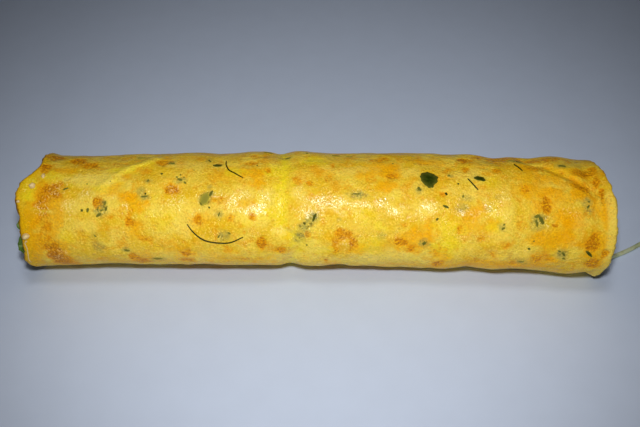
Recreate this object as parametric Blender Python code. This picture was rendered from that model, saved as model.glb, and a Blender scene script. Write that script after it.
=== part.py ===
"""A rolled omelette: one thin sheet of baked egg, spread with cheese and salad and rolled up.

The roll lies along X with its shown side towards -Y. It rests on a narrow flat at Z = 0. The
loose edge of the sheet, the tail, lies low on the back. Walking along the sheet from the tail,
"turns" counts the turns rolled so far: 0 at the tail, 1 after one turn round the roll, and so
on inwards to the core. Sizes below are in millimetres and angles in degrees, unless a name
says otherwise. An angle on the roll is 0 at the front, 90 at the top and -90 underneath.
"""

from math import cos, exp, floor, hypot, radians, sin

import bmesh
import bpy
from mathutils import Vector

MM = 0.001

# The roll's cross-section, an oval that its own weight has flattened underneath.
HALF_WIDTH = 29.8
HALF_HEIGHT = 27.3
CENTRE_HEIGHT = 24.5
MEAN_RADIUS = 28.0

# The baked sheet and the way it is rolled.
SHEET = 3.7
TAIL_THICKNESS = 1.2
TAIL_TAPER = 0.1
TAIL_ANGLE = 218.0
PITCH = 6.2
STEP_START = 0.92
STEP_LENGTH = 0.18
EVEN_START = 1.1
CORE_TURNS = 3.75

# The grated cheese between the turns.
GAP = 0.35
FILLING_START = 3.0 / 28.0
CORE_FILLING = 2.2
CORE_FILLING_TIP = 1.0
CORE_FILLING_LENGTH = 10.0 / 28.0
LEAF_ROOM = 11.5
STEM_ROOM = 21.5

# The roll bends a little towards the front at its right end, and less at its left end.
RIGHT_BEND = 5.0
RIGHT_BEND_START = 20.0
LEFT_BEND = 0.8
LEFT_BEND_START = 60.0
BEND_LENGTH = 120.0

# Moves the whole roll so that the origin lies under the middle of everything, stem included.
PLACE_X = -13.0
PLACE_Y = 2.5

# The mesh: steps round one turn, and stations along the roll.
STEPS = 28
FINE_SPACING = 6.5
FINE_REACH = 130.0
COARSE_STATIONS = (-130.0, -117.0, -39.0, 19.5, 58.5, 97.5, 130.0)

# Soft lumps and dents of the outer turn: place along X, angle, half length, half angle, height.
LUMPS = (
    (0.0, -46.0, 400.0, 30.0, -1.0),
    (-140.0, -44.0, 8.0, 24.0, -0.8),
    (-112.0, 128.0, 28.0, 42.0, -1.5),
    (-104.0, -42.0, 20.0, 34.0, -0.9),
    (-77.0, 132.0, 12.0, 34.0, -0.6),
    (-60.0, -44.0, 19.0, 30.0, -1.7),
    (-50.0, 132.0, 9.0, 34.0, -0.6),
    (-37.0, 132.0, 9.0, 30.0, 0.5),
    (-36.0, 45.0, 30.0, 120.0, 0.9),
    (-2.0, -42.0, 9.0, 28.0, 0.7),
    (3.0, -44.0, 20.0, 30.0, -0.7),
    (9.0, -44.0, 5.0, 24.0, -0.9),
    (9.0, 132.0, 12.0, 34.0, -0.7),
    (15.0, -44.0, 20.0, 30.0, 0.8),
    (61.0, -40.0, 9.0, 30.0, 0.7),
    (71.0, -44.0, 5.0, 24.0, -1.1),
    (76.0, 132.0, 14.0, 34.0, 0.9),
    (85.0, -40.0, 8.0, 34.0, 0.6),
    (85.0, 132.0, 7.0, 36.0, -1.3),
    (103.0, 126.0, 7.0, 30.0, -1.0),
    (107.0, -44.0, 24.0, 30.0, -0.9),
    (117.0, 118.0, 9.0, 34.0, 1.0),
    (121.0, -40.0, 8.0, 24.0, 1.2),
    (129.0, 125.0, 8.0, 30.0, -0.8),
    (129.5, -44.0, 4.0, 20.0, -1.5),
)

# Creases and ridges that run round the outer turn: (angle, x) points, half width, height.
WAIST_LINE = (
    (150.0, -20.0),
    (89.0, -17.6),
    (30.0, -19.0),
    (12.0, -9.5),
    (-18.0, -14.0),
    (-60.0, -15.0),
)
RIGHT_CREASE_LINE = ((116.0, 99.0), (99.0, 109.0), (90.0, 115.0), (82.0, 120.5), (70.0, 128.0))
LEFT_RIDGE_LINE = ((108.0, -80.0), (99.0, -84.5), (91.0, -92.0), (79.0, -97.5), (66.0, -102.0))
RING_RIDGE_LINE = ((96.0, 84.0), (40.0, 87.0), (-30.0, 86.0))
CREASES = (
    (WAIST_LINE, 4.5, -1.5),
    (RIGHT_CREASE_LINE, 3.5, -1.2),
    (LEFT_RIDGE_LINE, 3.2, 0.7),
    (RING_RIDGE_LINE, 4.0, 0.6),
)
CREASE_FADE = 14.0

# The rims: how far the outer turn flares at its two ends.
RIGHT_FLARE = 2.2
RIGHT_FLARE_LENGTH = 9.0
LEFT_FLARE = 0.9
LEFT_FLARE_LENGTH = 6.0

# The salad leaf at the left end, and the stem at the right end.
LEAF_THICKNESS = 0.9
LEAF_LOBES = ((28.0, 8.5, 5.0), (2.0, 19.0, 6.2))
LEAF_ROOT = -124.0
LEAF_BASE = -138.2
LEAF_STEPS = 16
LEAF_STATIONS = 6
STEM_RADIUS = 0.9
STEM_ANGLE = -62.0
STEM_ROOT = 112.0
STEM_RIM = 137.5
STEM_STEP = 2.0

# The free stretch of the stem, past the roll's right end: x, y and z.
STEM_OUTSIDE = (
    (144.5, -13.0, 2.4),
    (151.0, -10.3, 1.15),
    (158.5, -6.6, 0.95),
    (166.5, -1.9, 0.95),
    (170.0, 0.3, 0.95),
)

EGG = (0.708, 0.445, 0.037)
CHEESE = (0.800, 0.700, 0.400)
LEAF_GREEN = (0.051, 0.091, 0.016)
STEM_GREEN = (0.330, 0.390, 0.240)


def smooth(value):
    """Ease from 0 to 1, level outside."""
    value = min(max(value, 0.0), 1.0)
    return value * value * (3.0 - 2.0 * value)


def bump(value, centre, reach):
    """A soft bump of height 1 round its centre."""
    return exp(-((value - centre) / reach) ** 2)


def angle_at(turns):
    """The angle on the roll, in degrees, that the sheet has reached."""
    return TAIL_ANGLE - 360.0 * turns


def outline(angle):
    """The radius of the roll's outer section at an angle, flat underneath."""
    across = cos(radians(angle))
    upwards = sin(radians(angle))
    radius = 1.0 / hypot(across / HALF_WIDTH, upwards / HALF_HEIGHT)
    if upwards < 0.0:
        radius = min(radius, CENTRE_HEIGHT / -upwards)
    return radius


def turn_depth(turns):
    """How deep the sheet's outer side lies under the outline.

    The first turn lies on the outline and then steps in under the tail. Further in, the
    steps melt into an even spiral.
    """
    past = turns - STEP_START
    stepped = max(0.0, floor(past) + smooth((past - floor(past)) / STEP_LENGTH))
    even = turns - (EVEN_START - 1.0)
    share = min(max((turns - EVEN_START) / (CORE_TURNS - EVEN_START + 0.25), 0.0), 1.0)
    return PITCH * (stepped * (1.0 - share) + even * share)


def thickness(turns):
    """The sheet's thickness, thin at the tail."""
    return TAIL_THICKNESS + (SHEET - TAIL_THICKNESS) * smooth(turns / TAIL_TAPER)


def bend(x):
    """How far the roll's middle line lies to the front (negative) at a place along it."""
    right = RIGHT_BEND * smooth((x - RIGHT_BEND_START) / BEND_LENGTH)
    left = LEFT_BEND * smooth((-x - LEFT_BEND_START) / BEND_LENGTH)
    return -right - left


def place(x, turns, depth, lift=0.0):
    """A point of the roll, in metres: x along it, round it by turns, depth under the outline."""
    angle = angle_at(turns)
    radius = outline(angle) * (1.0 - depth / MEAN_RADIUS) + lift
    y = bend(x) - radius * cos(radians(angle))
    z = max(CENTRE_HEIGHT + radius * sin(radians(angle)), 0.0)
    return Vector((x + PLACE_X, y + PLACE_Y, z)) * MM


def left_rim(angle):
    """The left end of the outer turn, with a small peak at the upper front."""
    drawn_in = 5.6 * smooth((angle - 70.0) / 24.0) - smooth((angle - 104.0) / 20.0)
    peak = 2.5 * bump(angle, 61.0, 14.0)
    return -140.0 + drawn_in - peak - 1.6 * bump(angle, -12.0, 14.0)


def right_rim(angle):
    """The right end of the outer turn, drawn in at the back and at the lower front corner."""
    back = 3.6 * smooth((angle - 42.0) / 75.0)
    corner = 1.6 * smooth((-angle - 10.0) / 45.0)
    return 137.1 - back - corner


def sheet_ends(turns):
    """The sheet's left and right ends; the inner turns lie a little further in."""
    inside = smooth((turns - 0.95) / 0.2)
    left_inner = -136.6 + 1.2 * sin(4.0 * turns) + 0.5 * sin(11.0 * turns)
    right_inner = 135.4 + 1.1 * cos(3.4 * turns) + 0.5 * sin(9.0 * turns + 1.0)
    angle = angle_at(turns)
    left = left_rim(angle) * (1.0 - inside) + left_inner * inside
    right = right_rim(angle) * (1.0 - inside) + right_inner * inside
    return left, right


def crease_height(x, angle, crease):
    """The height of one crease or ridge at a point of the outer turn."""
    points, half_width, height = crease
    fade = smooth((points[0][0] + CREASE_FADE - angle) / CREASE_FADE)
    fade *= smooth((angle - points[-1][0] + CREASE_FADE) / CREASE_FADE)
    middle = points[0][1]
    for (angle_a, x_a), (angle_b, x_b) in zip(points, points[1:]):
        middle += (x_b - x_a) * smooth((angle_a - angle) / (angle_a - angle_b))
    return height * fade * bump(x, middle, half_width)


def flare_height(x, angle, left, right):
    """The outward turn of the rims, with a shallow valley behind the right one."""
    upper = bump(angle, 72.0, 42.0)
    corner = bump(angle, -42.0, 16.0)
    inwards = right - x
    lip = RIGHT_FLARE * (1.0 - smooth(inwards / RIGHT_FLARE_LENGTH)) * max(upper, corner)
    valley = 0.9 * upper * bump(inwards, RIGHT_FLARE_LENGTH - 1.5, 3.5)
    return lip - valley + LEFT_FLARE * (1.0 - smooth((x - left) / LEFT_FLARE_LENGTH))


def swell(x, turns):
    """How far the outer turn's surface stands out from (or lies under) the plain oval."""
    angle = angle_at(turns)
    left, right = sheet_ends(turns)
    height = 0.3 * sin(x / 17.0 + 1.4 * sin(radians(angle)))
    height += 0.25 * sin(x / 9.5 - radians(angle) * 2.0 + 1.0)
    for lump_x, lump_angle, half_length, half_angle, lump_height in LUMPS:
        height += lump_height * bump(x, lump_x, half_length) * bump(angle, lump_angle, half_angle)
    for crease in CREASES:
        height += crease_height(x, angle, crease)
    height += flare_height(x, angle, left, right)
    off_the_floor = smooth((abs(angle + 90.0) - 30.0) / 15.0)
    loose = smooth(turns / TAIL_TAPER) * (1.0 - smooth((turns - 0.95) / 0.1))
    return height * off_the_floor * loose


def fine_stations(left, right):
    """Places along the outer side of the outer turn, rims included."""
    count = round(2.0 * FINE_REACH / FINE_SPACING)
    inner = [-FINE_REACH + FINE_SPACING * index for index in range(count + 1)]
    return [left, (left + inner[0]) / 2.0, *inner, (right + inner[-1]) / 2.0, right]


def shared_stations():
    """The index, among the fine stations, of each coarse one with the two rims."""
    inner = [2 + round((x + FINE_REACH) / FINE_SPACING) for x in COARSE_STATIONS]
    return [0, *inner, len(fine_stations(0.0, 0.0)) - 1]


def join_rows(mesh, row, other):
    """Faces between two rows; where one is fine and the other coarse, a fan at each station."""
    if len(row) == len(other):
        for index in range(len(row) - 1):
            mesh.faces.new((row[index], row[index + 1], other[index + 1], other[index]))
        return
    fine, coarse = (row, other) if len(row) > len(other) else (other, row)
    shared = shared_stations()
    for number in range(len(coarse) - 1):
        first, last = shared[number], shared[number + 1]
        middle = (first + last) // 2
        for index in range(first, last):
            corner = coarse[number] if index < middle else coarse[number + 1]
            mesh.faces.new((fine[index], fine[index + 1], corner))
        mesh.faces.new((coarse[number], fine[middle], coarse[number + 1]))


def slab(name, top_rows, bottom_rows, material):
    """A closed slab between two grids of points, as a named object."""
    mesh = bmesh.new()
    tops = [[mesh.verts.new(point) for point in row] for row in top_rows]
    bottoms = [[mesh.verts.new(point) for point in row] for row in bottom_rows]
    for rows in (tops, bottoms):
        for row, other in zip(rows, rows[1:]):
            join_rows(mesh, row, other)
    join_rows(mesh, tops[0], bottoms[0])
    join_rows(mesh, tops[-1], bottoms[-1])
    for side in (0, -1):
        for index in range(len(tops) - 1):
            after = index + 1
            upper = (tops[index][side], tops[after][side])
            mesh.faces.new((*upper, bottoms[after][side], bottoms[index][side]))
    bmesh.ops.recalc_face_normals(mesh, faces=mesh.faces)
    data = bpy.data.meshes.new(name)
    mesh.to_mesh(data)
    mesh.free()
    data.materials.append(material)
    data.shade_smooth()
    data.set_sharp_from_angle(angle=radians(50.0))
    piece = bpy.data.objects.new(name, data)
    bpy.context.scene.collection.objects.link(piece)
    return piece


def plain_material(name, colour, roughness):
    """A Principled material of one colour."""
    material = bpy.data.materials.new(name)
    material.use_nodes = True
    shader = material.node_tree.nodes["Principled BSDF"]
    shader.inputs["Base Color"].default_value = (*colour, 1.0)
    shader.inputs["Roughness"].default_value = roughness
    shader.inputs["Metallic"].default_value = 0.0
    return material


def make_egg_sheet():
    """The whole baked sheet, rolled from its tail to the core."""
    outer_rows = []
    inner_rows = []
    for step in range(round(CORE_TURNS * STEPS) + 1):
        turns = step / STEPS
        left, right = sheet_ends(turns)
        coarse = [left, *COARSE_STATIONS, right]
        stations = fine_stations(left, right) if step <= STEPS else coarse
        depth = turn_depth(turns)
        outer_rows.append([place(x, turns, depth, swell(x, turns)) for x in stations])
        depth += thickness(turns)
        inner_rows.append([place(x, turns, depth, max(swell(x, turns), 0.0)) for x in coarse])
    return slab("egg_sheet", outer_rows, inner_rows, plain_material("baked_egg", EGG, 0.45))


def filling_ends(turns):
    """The filling's ragged ends, with room for the leaf on the left and the stem on the right."""
    left = -132.8 + 1.0 * sin(9.0 * turns) + 0.8 * sin(23.0 * turns + 1.0)
    right = 131.4 + 1.0 * sin(8.0 * turns + 2.0) + 0.8 * sin(21.0 * turns)
    leaf_turns = (TAIL_ANGLE - 9.0) / 360.0
    stem_turns = (TAIL_ANGLE - STEM_ANGLE) / 360.0
    left += LEAF_ROOM * smooth((0.13 - abs(turns - leaf_turns)) / 0.04)
    right -= STEM_ROOM * smooth((0.06 - abs(turns - stem_turns)) / 0.02)
    return left, right


def make_cheese_filling():
    """The cheese layer, which fills the room between the sheet's turns and ends in the core."""
    outer_rows = []
    inner_rows = []
    last = CORE_TURNS - CORE_FILLING_LENGTH
    for step in range(round(FILLING_START * STEPS), round(last * STEPS) + 1):
        turns = step / STEPS
        left, right = filling_ends(turns)
        stations = [left, *COARSE_STATIONS[1:-1], right]
        outside = turn_depth(turns) + thickness(turns) + GAP
        inside = turn_depth(turns + 1.0) - GAP
        if turns + 1.0 > CORE_TURNS:
            taper = (turns + 1.0 - CORE_TURNS) / (last + 1.0 - CORE_TURNS)
            inside = outside + CORE_FILLING + (CORE_FILLING_TIP - CORE_FILLING) * taper
        outer_rows.append([place(x, turns, outside) for x in stations])
        inner_rows.append([place(x, turns, inside) for x in stations])
    return slab("cheese_filling", outer_rows, inner_rows, plain_material("grated_cheese", CHEESE, 0.5))


def first_gap_depth(turns):
    """The middle of the room between the outer turn and the second one."""
    return (turn_depth(turns) + thickness(turns) + turn_depth(turns + 1.0)) / 2.0


def make_salad_leaf():
    """A thin lobed leaf, held in the first gap and reaching out of the left end."""
    lowest = LEAF_LOBES[-1][0] - LEAF_LOBES[-1][1]
    highest = LEAF_LOBES[0][0] + LEAF_LOBES[0][1]
    upper_rows = []
    lower_rows = []
    for step in range(LEAF_STEPS + 1):
        angle = lowest + (highest - lowest) * step / LEAF_STEPS
        reach = 0.0
        for centre, half_angle, length in LEAF_LOBES:
            inside = max(0.0, 1.0 - ((angle - centre) / half_angle) ** 2)
            reach = max(reach, length * inside ** 0.5)
        turns = (TAIL_ANGLE - angle) / 360.0
        middle = first_gap_depth(turns)
        upper = []
        lower = []
        for station in range(LEAF_STATIONS + 1):
            x = LEAF_ROOT + (LEAF_BASE - reach - LEAF_ROOT) * station / LEAF_STATIONS
            curl = 1.2 * smooth((-x - 137.0) / 8.0)
            upper.append(place(x, turns, middle - LEAF_THICKNESS / 2.0, curl))
            lower.append(place(x, turns, middle + LEAF_THICKNESS / 2.0, curl))
        upper_rows.append(upper)
        lower_rows.append(lower)
    return slab("salad_leaf", upper_rows, lower_rows, plain_material("green_leaf", LEAF_GREEN, 0.5))


def stem_route():
    """Points along the stem, in metres: along the first gap, out, and down to the surface."""
    turns = (TAIL_ANGLE - STEM_ANGLE) / 360.0
    depth = first_gap_depth(turns)
    inside = [place(x, turns, depth) for x in (STEM_ROOT, STEM_ROOT + 9.0, STEM_ROOT + 18.0)]
    rim = place(STEM_RIM, turns, depth)
    outside = [Vector((x + PLACE_X, y + PLACE_Y, z)) * MM for x, y, z in STEM_OUTSIDE]
    knots = [*inside, rim, *outside]
    points = [knots[0]]
    for index in range(1, len(knots)):
        before = knots[max(index - 2, 0)]
        start = knots[index - 1]
        end = knots[index]
        after = knots[min(index + 1, len(knots) - 1)]
        count = max(round((end - start).length / (STEM_STEP * MM)), 1)
        for step in range(1, count + 1):
            points.append(smooth_between(before, start, end, after, step / count))
    return points


def smooth_between(before, start, end, after, share):
    """A point of the smooth curve through four knots, between the middle two."""
    leave = (end - before) / 2.0
    arrive = (after - start) / 2.0
    square = share * share
    cube = square * share
    point = start * (2.0 * cube - 3.0 * square + 1.0) + leave * (cube - 2.0 * square + share)
    return point + end * (3.0 * square - 2.0 * cube) + arrive * (cube - square)


def make_salad_stem():
    """The pale round stem."""
    points = stem_route()
    curve = bpy.data.curves.new("salad_stem", "CURVE")
    curve.dimensions = "3D"
    curve.bevel_depth = STEM_RADIUS * MM
    curve.bevel_resolution = 2
    curve.use_fill_caps = True
    spline = curve.splines.new("POLY")
    spline.points.add(len(points) - 1)
    for point, target in zip(spline.points, points):
        point.co = (*target, 1.0)
    curve.materials.append(plain_material("green_stem", STEM_GREEN, 0.45))
    piece = bpy.data.objects.new("salad_stem", curve)
    bpy.context.scene.collection.objects.link(piece)
    return piece


def main():
    for old in list(bpy.data.objects):
        bpy.data.objects.remove(old, do_unlink=True)
    make_egg_sheet()
    make_cheese_filling()
    make_salad_leaf()
    make_salad_stem()


main()
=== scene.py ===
"""Looks of the rolled omelette: the browned egg sheet, its filling, herbs, leaf and stem.

Lengths are in millimetres and angles in degrees, as in the part's source; meshes are turned
into metres when they are made. "turns" counts along the rolled sheet from its tail, the loose
edge low on the back. An angle on the roll is 0 at the front, 90 at the top, -90 underneath.
"""

from math import radians

import bmesh
import bpy
import numpy as np
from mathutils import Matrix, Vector


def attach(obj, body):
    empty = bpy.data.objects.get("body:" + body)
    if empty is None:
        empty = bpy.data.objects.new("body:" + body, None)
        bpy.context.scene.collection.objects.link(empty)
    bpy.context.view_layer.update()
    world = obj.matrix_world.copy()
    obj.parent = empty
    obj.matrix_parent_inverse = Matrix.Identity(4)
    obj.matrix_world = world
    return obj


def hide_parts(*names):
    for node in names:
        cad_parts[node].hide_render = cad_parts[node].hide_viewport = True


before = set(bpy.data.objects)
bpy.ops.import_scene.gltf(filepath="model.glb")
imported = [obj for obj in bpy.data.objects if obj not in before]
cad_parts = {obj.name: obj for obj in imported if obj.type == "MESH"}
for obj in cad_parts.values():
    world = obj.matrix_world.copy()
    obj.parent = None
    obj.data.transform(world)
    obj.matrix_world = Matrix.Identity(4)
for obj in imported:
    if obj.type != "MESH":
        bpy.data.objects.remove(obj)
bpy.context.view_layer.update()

MM = 0.001

# The roll, with the same values as the solids.
HALF_WIDTH = 29.8
HALF_HEIGHT = 27.3
CENTRE_HEIGHT = 24.5
MEAN_RADIUS = 28.0
SHEET = 3.7
TAIL_THICKNESS = 1.2
TAIL_TAPER = 0.1
TAIL_ANGLE = 218.0
PITCH = 6.2
STEP_START = 0.92
STEP_LENGTH = 0.18
EVEN_START = 1.1
CORE_TURNS = 3.75
FILLING_START = 3.0 / 28.0
FILLING_END = CORE_TURNS - 10.0 / 28.0
CORE_FILLING = 2.2
CORE_FILLING_TIP = 1.0
RIGHT_BEND = 5.0
RIGHT_BEND_START = 20.0
LEFT_BEND = 0.8
LEFT_BEND_START = 60.0
BEND_LENGTH = 120.0
PLACE_X = -13.0
PLACE_Y = 2.5

# Soft lumps and dents of the outer turn: place along X, angle, half length, half angle, height.
LUMPS = (
    (0, -46, 400, 30, -1), (-140, -44, 8, 24, -0.8), (-112, 128, 28, 42, -1.5),
    (-104, -42, 20, 34, -0.9), (-77, 132, 12, 34, -0.6), (-60, -44, 19, 30, -1.7),
    (-50, 132, 9, 34, -0.6), (-37, 132, 9, 30, 0.5), (-36, 45, 30, 120, 0.9), (-2, -42, 9, 28, 0.7),
    (3, -44, 20, 30, -0.7), (9, -44, 5, 24, -0.9), (9, 132, 12, 34, -0.7), (15, -44, 20, 30, 0.8),
    (61, -40, 9, 30, 0.7), (71, -44, 5, 24, -1.1), (76, 132, 14, 34, 0.9), (85, -40, 8, 34, 0.6),
    (85, 132, 7, 36, -1.3), (103, 126, 7, 30, -1), (107, -44, 24, 30, -0.9), (117, 118, 9, 34, 1),
    (121, -40, 8, 24, 1.2), (129, 125, 8, 30, -0.8), (129.5, -44, 4, 20, -1.5),
)

# Creases and ridges that run round the outer turn: (angle, x) points, half width, height.
WAIST_LINE = ((150, -20), (89, -17.6), (30, -19), (12, -9.5), (-18, -14), (-60, -15))
RIGHT_CREASE_LINE = ((116, 99), (99, 109), (90, 115), (82, 120.5), (70, 128))
LEFT_RIDGE_LINE = ((108, -80), (99, -84.5), (91, -92), (79, -97.5), (66, -102))
RING_RIDGE_LINE = ((96, 84), (40, 87), (-30, 86))
CREASES = (
    (WAIST_LINE, 4.5, -1.5),
    (RIGHT_CREASE_LINE, 3.5, -1.2),
    (LEFT_RIDGE_LINE, 3.2, 0.7),
    (RING_RIDGE_LINE, 4.0, 0.6),
)
CREASE_FADE = 14.0
RIGHT_FLARE = 2.2
RIGHT_FLARE_LENGTH = 9.0
LEFT_FLARE = 0.9
LEFT_FLARE_LENGTH = 6.0

# What shows on the outer turn. Each row: place along X, angle, half length, half angle, strength.
# Browned lace, with painted shadow along the underside in the long rows at angle -44 to -46.
BROWNED_AND_PAINTED_SHADE = (
    (-130.9, 92, 3, 8, 0.9), (-129.5, 117, 4.5, 8, 0.95), (-117.2, 107, 4.5, 7, 0.9),
    (-110.5, 98, 5, 6, 0.75), (-126.8, 67, 4.5, 6, 0.9), (-123.5, 60.5, 3.5, 6, 0.9),
    (-122.5, 71, 3, 5, 0.7), (-129, 57, 4.5, 8, 0.75), (-130.5, 48.5, 3.6, 8, 0.65),
    (-129, 38, 3.6, 8, 0.55), (-128.3, 29.5, 3.2, 6, 0.6), (-129.5, 18, 4, 6, 0.5),
    (-127.3, 8.5, 4.5, 7, 0.9), (-125.5, -3, 6, 10, 1), (-122, -10, 5.5, 9, 0.8),
    (-120, -40, 14, 8, 0.7), (-103.3, 52, 2.8, 7, 0.8), (-88, 41, 2.2, 5, 0.6),
    (-88.4, 33.5, 3, 6, 0.8), (-69.4, 64.5, 4, 6, 0.9), (-57.2, 36, 3.4, 6, 0.8),
    (-63.6, 0, 4.5, 6, 0.85), (-88, -5.5, 3.8, 7, 0.75), (-81.6, 15.5, 3.5, 7, 0.5),
    (-75.7, 101, 4.5, 6, 0.75), (-47.5, 53.5, 3, 5, 0.6), (-68, 19, 2, 4, 0.4), (-76, 8, 2, 4, 0.4),
    (-95.5, 100, 4, 5, 0.4), (-96.5, 38, 2.5, 3, 0.4), (-92, 13, 3, 6, 0.35), (-83, 87, 5, 6, 0.4),
    (-33, 97, 3.2, 5, 0.6), (-31.5, 110, 3, 6, 0.55), (-24.4, 85, 1.8, 4, 0.8),
    (-27, 112, 4, 6, 0.4), (-10.4, 73.5, 2.8, 5, 0.5), (-4.9, 71, 2.2, 3.5, 0.6),
    (6.2, 94, 1.6, 4.5, 0.75), (4, 77.5, 2.2, 4.5, 0.6), (33.6, 80, 3.6, 6, 0.85),
    (29, 105, 6, 7, 0.6), (24, 75.5, 4, 5, 0.35), (-41.3, 37.5, 2.6, 5, 0.6),
    (-31.8, 38, 2.8, 5, 0.62), (-27.7, 13, 2.4, 6.5, 0.85), (-18.9, 4, 3, 4.5, 0.85),
    (-6, 22.5, 1.6, 3.5, 0.7), (11, 22, 4.2, 5.5, 0.75), (7, 13.5, 2, 7.5, 0.6),
    (15.5, 13, 2.4, 8, 0.75), (8.2, 5.5, 2.2, 4.5, 0.6), (14, 5, 2.6, 5, 0.7),
    (37.3, 13, 4, 6, 0.85), (42.9, 7, 2.6, 5, 0.75), (39.2, 29, 2.2, 3.5, 0.5),
    (2.9, -11, 1.3, 4, 0.7), (-43, 5, 4, 5, 0.4), (-35.5, -8, 3, 6, 0.45), (-35.5, 24, 2, 2.5, 0.5),
    (13.5, 66, 2, 3, 0.5), (-4, 56, 4, 4, 0.3), (70, 110, 4, 6, 0.9), (69, 93.5, 2.6, 5, 0.6),
    (60, 93, 4, 6, 0.5), (57.5, 61.5, 3, 4, 0.65), (84, 92.5, 2.4, 5, 0.75),
    (96, 68.5, 2.6, 4.5, 0.65), (102, 99, 6, 5, 0.5), (104.9, 55.5, 2.3, 9, 1),
    (122.4, 75, 4, 6, 0.75), (129, 98, 3.5, 7, 0.7), (123, 93, 5, 6, 0.75), (131, 66, 1.1, 9, 0.9),
    (129.8, 80, 1.3, 7, 0.9), (124.6, 47, 2.5, 4, 0.5), (92.8, 35.5, 3, 6, 0.45),
    (108.8, 35.5, 1.7, 2.2, 1), (65.3, 29, 2.2, 5, 0.6), (70, 40, 5, 7, 0.3),
    (87, 15.5, 3.6, 5, 0.5), (75.3, 20, 1.8, 4, 0.55), (81.2, 5, 1.6, 5, 0.5),
    (74.3, -5.5, 1.6, 4, 0.65), (56.7, -12.5, 3.1, 6, 0.85), (103.6, 2.5, 6, 8, 0.6),
    (92, -8, 2.5, 5, 0.55), (126.9, 20.5, 4.2, 9, 0.85), (132.3, 10, 2.4, 6, 0.8),
    # The long rows at angle -44 to -46 from here on are painted shadow along the underside by the
    # floor.
    (128.3, -3, 3.6, 8, 0.8), (56, 5, 6, 7, 0.4), (85, 112, 4, 7, 0.45), (-60, -46, 50, 9, 0.9),
    (20, -46, 40, 9, 0.9), (88, -44, 30, 9, 0.9), (111, 92, 6, 4, 0.45), (118, 86, 4, 4, 0.5),
    (-122, -16, 7, 8, 0.9), (-86, -14, 5, 7, 0.8), (-64, -9, 5, 6, 0.7), (88, 122, 14, 9, 0.65),
    (112, 118, 14, 8, 0.65),
)
GOLDEN = (
    (-137, 25, 4.5, 32, 0.8), (-137, -10, 5, 16, 0.7), (-132, 12, 6, 16, 0.8),
    (-121, 8, 4, 14, 0.7), (-124, 30, 4, 14, 0.6), (-130, 60, 7, 14, 0.6), (-122, 45, 4, 14, 0.4),
    (-90, 56, 5, 9, 1), (-84, 48, 6, 6, 0.8), (-98.5, 62, 5, 7, 0.5), (-87, 26, 4, 10, 0.6),
    (-64, 4, 8, 8, 0.5), (-84, -4, 6, 8, 0.5), (-69, 66, 6, 8, 0.6), (-45, 80, 7, 8, 0.4),
    (-36.5, 48, 3, 5, 0.5), (-31, 82, 8, 7, 0.85), (-30.5, 70, 4, 6, 0.6), (-57, 36, 6, 9, 0.5),
    (30, 88, 8, 12, 0.7), (22, 84, 7, 8, 0.5), (50, 20, 6, 12, 0.95), (44, 14, 7, 12, 0.8),
    (40, 12, 9, 9, 0.5), (12, 14, 9, 14, 0.4), (18, 8, 4, 8, 0.6), (96, 70, 9, 8, 0.7),
    (100, 84, 8, 8, 0.5), (108, 84, 9, 9, 0.7), (104, 55, 7, 12, 0.55), (112, 62, 6, 10, 0.6),
    (115.5, 38, 6, 14, 1), (112, 22, 6, 10, 0.7), (104, 22, 7, 8, 0.8), (121, 78, 6, 9, 0.85),
    (124, 92, 8, 8, 0.7), (127, 58, 5, 8, 0.5), (130, 50, 5, 8, 0.6), (128, 18, 7, 14, 0.8),
    (130, -2, 5, 10, 0.7), (104, 0, 9, 8, 0.6), (52, 105, 9, 7, 0.6), (69, 30, 6, 8, 0.5),
    (80, 32, 3.2, 6, 0.6), (57, -3, 6, 8, 0.6), (85, -10, 12, 7, 0.7), (-20, -12, 20, 6, 0.5),
    (-45, -6, 10, 7, 0.5), (2, -12, 6, 6, 0.4), (-80, -10, 30, 5, 0.4), (60, -16, 60, 6, 0.4),
    (0, 85, 12, 8, 0.3), (-132.8, 34, 4, 12, 0.9), (-125, -3, 7, 9, 1), (-86, -10, 6, 7, 0.9),
    (-64.5, -5, 7, 7, 1), (31.5, 69, 6, 7, 0.8), (72, 44, 6, 9, 0.7), (106, 66, 7, 8, 0.9),
    (121.5, 68, 6, 8, 0.9), (113, 26, 8, 12, 0.9), (132.6, 50, 3.2, 18, 0.9), (133, -2, 3, 10, 1),
    (56, -22, 8, 8, 0.7), (78, -18, 9, 8, 0.7), (-123, 90, 8, 7, 0.6), (101, 99, 8, 7, 0.7),
    (-123.5, 52, 6, 10, 0.7), (118, 92, 10, 9, 0.8), (-122, -18, 9, 9, 1), (96, -12, 14, 9, 0.8),
)
# Lemon places; the rows that follow the waist are partly paler egg in the dent and partly painted
# highlight on its flank.
LEMON_AND_HIGHLIGHT = (
    (-136.5, 66, 4, 16, 1), (-128, 82, 6, 6, 0.6), (-122, 80, 8, 6, 0.5), (-109, 72, 10, 7, 0.6),
    (-101, 76, 7, 6, 0.75), (-93, 88, 7, 5, 0.8), (-84, 96, 6, 5, 0.7), (-117, 20, 4, 6, 0.6),
    (-72, 45, 12, 14, 0.5), (-104, 46, 6, 6, 0.4), (-19, 86, 6, 14, 0.9), (-17.5, 66, 5, 12, 0.85),
    (-21, 52, 5, 8, 0.8), (-25, 40, 6, 9, 0.95), (-18, 28, 6, 7, 0.9), (-13, 20, 6, 8, 0.7),
    (-8, 10, 8, 9, 0.8), (-3, 4, 9, 7, 0.7), (-2.8, 102, 6, 7, 0.85), (28, 30, 3, 4.5, 1),
    (24, 12, 6, 10, 0.5), (60.5, 12, 7, 14, 0.8), (40.5, -3, 3.2, 4.5, 0.5), (80, 78, 8, 6, 0.5),
    (82, 45, 6, 8, 0.5), (80, 32, 3.2, 6, 0.6), (112, 96, 8, 8, 0.3), (20, 14, 6, 8, 0.3),
    (-40, 84, 7, 6, 0.6), (21, 38, 6, 8, 0.5), (60.5, 28, 7, 10, 0.6), (-24, 54, 6, 12, 0.8),
    (-32, 36, 7, 8, 0.7),
)
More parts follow.
